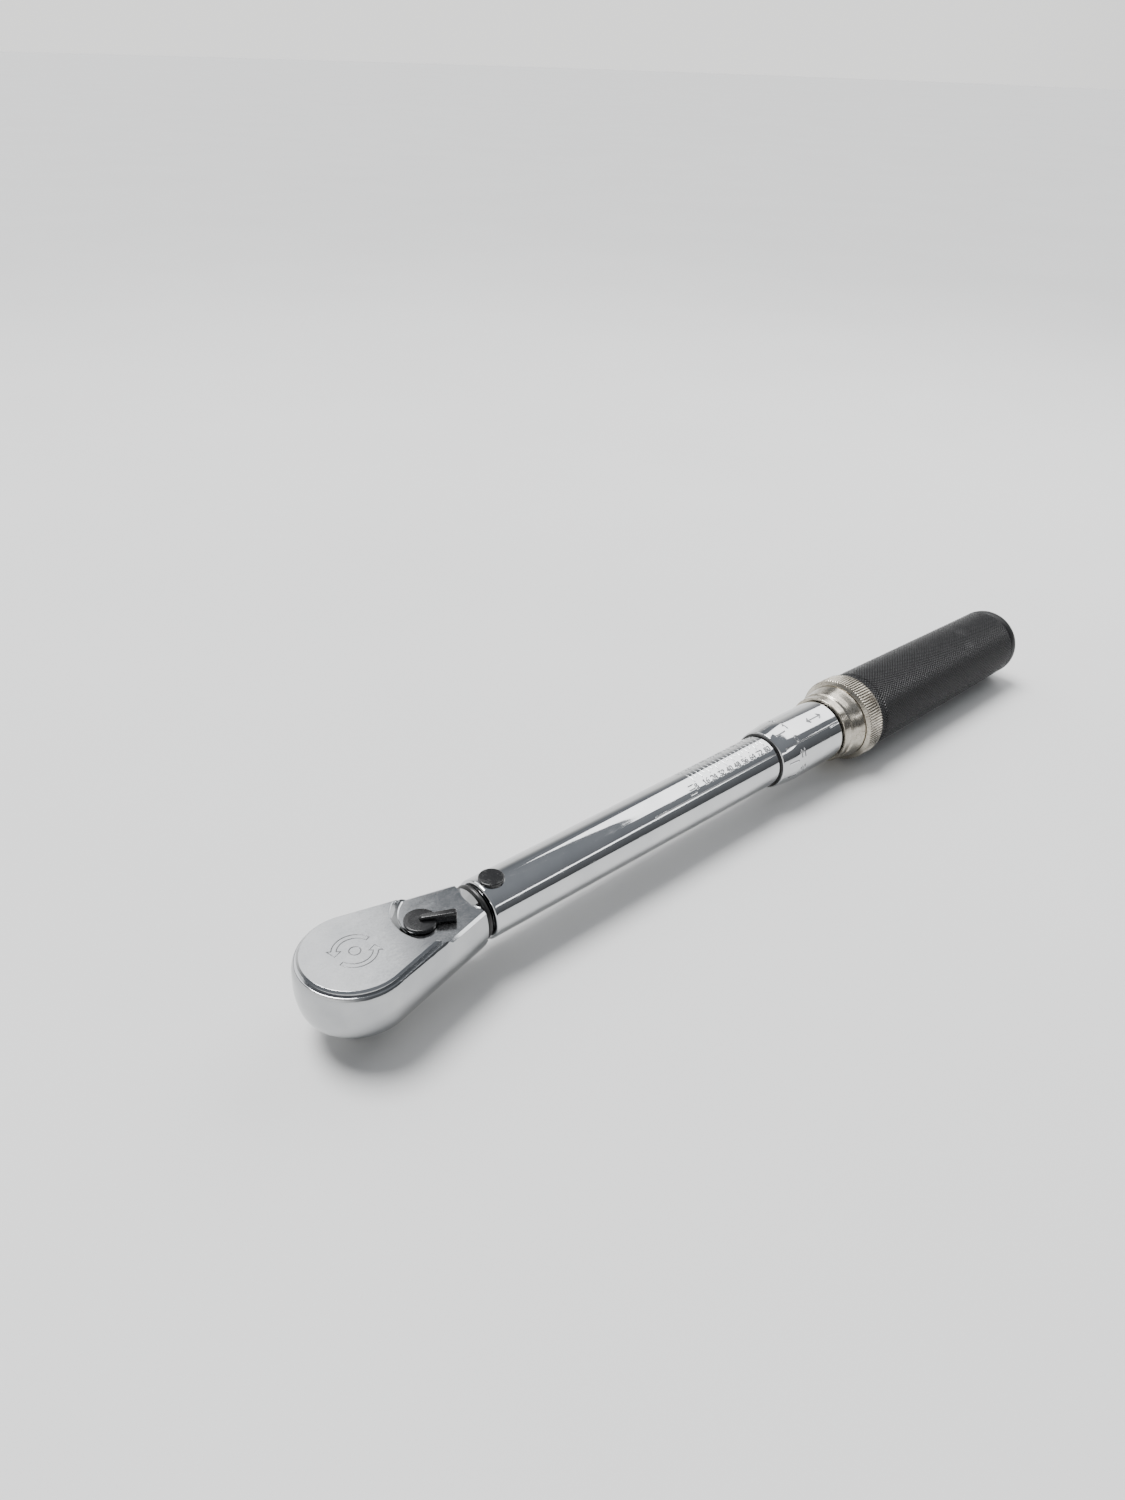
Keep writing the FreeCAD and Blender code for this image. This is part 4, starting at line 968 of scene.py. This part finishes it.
def make_table():
    """Pale table out to the horizon; it tilts so that the square drive and the ring rest on it."""
    points = []
    ring_radii = (0.0001, 0.4, 1.0, 3.0, 12.0)
    for r in ring_radii:
        for k in range(ROUND_SEGMENTS):
            a = 2 * math.pi * k / ROUND_SEGMENTS
            x, y = r * math.cos(a) / MM, r * math.sin(a) / MM
            points.append((x, y, TABLE_SLOPE * (x - TABLE_TOUCH_X) - TABLE_GAP))
    table = make_object("table", points, grid_faces(len(ring_radii), ROUND_SEGMENTS), 60.0)
    give(table, floor_paint())


def make_world():
    """Dim room with a pale backdrop behind the wrench, a little lighter overhead."""
    world = bpy.data.worlds.new("studio")
    bpy.context.scene.world = world
    world.use_nodes = True
    tree = world.node_tree
    background = tree.nodes["Background"]
    place = tree.nodes.new("ShaderNodeTexCoord").outputs["Generated"]

    def node(kind, **settings):
        made = tree.nodes.new(kind)
        for key, value in settings.items():
            setattr(made, key, value)
        return made

    def span(value, low, high):
        made = node("ShaderNodeMapRange", interpolation_type="SMOOTHSTEP")
        made.inputs["From Min"].default_value = low
        made.inputs["From Max"].default_value = high
        tree.links.new(value, made.inputs["Value"])
        return made.outputs["Result"]

    split = node("ShaderNodeSeparateXYZ")
    tree.links.new(place, split.inputs["Vector"])
    toward = node("ShaderNodeVectorMath", operation="DOT_PRODUCT")
    toward.inputs[1].default_value = (math.cos(BACKDROP_AZIMUTH), math.sin(BACKDROP_AZIMUTH), 0.0)
    tree.links.new(place, toward.inputs[0])
    backdrop = node("ShaderNodeMath", operation="MULTIPLY")
    tree.links.new(span(toward.outputs["Value"], -0.80, 0.10), backdrop.inputs[0])
    tree.links.new(span(split.outputs["Z"], 0.55, 0.10), backdrop.inputs[1])
    ramp = node("ShaderNodeValToRGB")
    ramp.color_ramp.elements[0].position = 0.02
    ramp.color_ramp.elements[0].color = (*ROOM_LOW, 1)
    ramp.color_ramp.elements[1].position = 0.85
    ramp.color_ramp.elements[1].color = (*ROOM_HIGH, 1)
    tree.links.new(split.outputs["Z"], ramp.inputs["Fac"])
    mixed = node("ShaderNodeMix", data_type="RGBA")
    tree.links.new(backdrop.outputs["Value"], mixed.inputs["Factor"])
    first, second = [s for s in mixed.inputs if s.type == "RGBA"]
    tree.links.new(ramp.outputs["Color"], first)
    second.default_value = (*BACKDROP, 1)
    tree.links.new([s for s in mixed.outputs if s.type == "RGBA"][0], background.inputs["Color"])
    background.inputs["Strength"].default_value = 1.0


def make_sun():
    """Broad soft light from above and behind, so that the shadow comes forward."""
    data = bpy.data.lights.new("overhead", "SUN")
    data.energy = SUN_STRENGTH
    data.angle = math.radians(SUN_ANGLE)
    place_lamp("overhead", data, SUN_PLACE, SUN_AIM)


def make_studio():
    make_camera()
    make_world()
    make_sun()
    for name, place, aim, size, power in SOFTBOXES:
        softbox(name, place, aim, size, power)
    make_table()


# ---- assembly --------------------------------------------------------------------------------
def dress_wrench():
    mirror = chrome_tube()
    nickel = satin_nickel()
    plastic = moulded_black("moulded_plastic", (0.006, 0.006, 0.0065), 0.3, 2400.0, 0.006)
    rubber = moulded_black("moulded_rubber", (0.005, 0.005, 0.005), 0.4, 1600.0, 0.006)
    oxide = moulded_black("oxide_screw", (0.03, 0.03, 0.032), 0.4, 3000.0, 0.006)
    head_finish = chrome_head()
    steel = bare_steel("machined_steel", (0.46, 0.46, 0.455), 0.3, (260, 260, 4200))
    turned_steel = bare_steel("turned_steel", (0.50, 0.50, 0.49), 0.28, (4200, 260, 260))
    stamped = bare_steel("stamped_mark", (0.17, 0.172, 0.176), 0.32, (2600, 2600, 2600))
    wire = bare_steel("spring_wire", (0.30, 0.30, 0.32), 0.34, (900, 900, 900))
    finish_piece(make_tube(), mirror, "tube_body", "chrome", "tube")
    finish_piece(make_thimble(), mirror, "handle", "chrome", "thimble")
    finish_piece(make_lock_ring(), nickel, "lock", "satin_nickel", "lock_ring")
    finish_piece(make_grip(), black_grip(), "handle", "black_oxide", "grip")
    finish_piece(make_lever(), plastic, "lever", "black_plastic", "reversing_lever")
    finish_piece(make_pin_caps(), plastic, "tube_body", "black_plastic", "pin_caps")
    finish_piece(make_neck_seal(), rubber, "head_body", "black_rubber", "neck_seal")
    finish_piece(make_direction_mark(), stamped, "head_body", "chrome")
    repaint(["head"], head_finish)
    repaint(["thimble_seal"], rubber)
    repaint(["end_cap"], plastic)
    repaint(["cover_screws"], oxide)
    repaint(["cover_plate", "drive_gear", "pawl", "pawl_pin", "tilt_block", "lock_balls",
             "detent_ball", "lever_plunger", "pivot_pin"], steel)
    repaint(["adjusting_nut", "nut_pins", "spring_plunger", "spring_seat", "thrust_ball",
             "adjusting_screw", "handle_screw"], turned_steel)
    repaint(["detent_spring", "lever_spring", "main_spring", "lock_spring", "lever_clip"], wire)


make_studio()
dress_wrench()
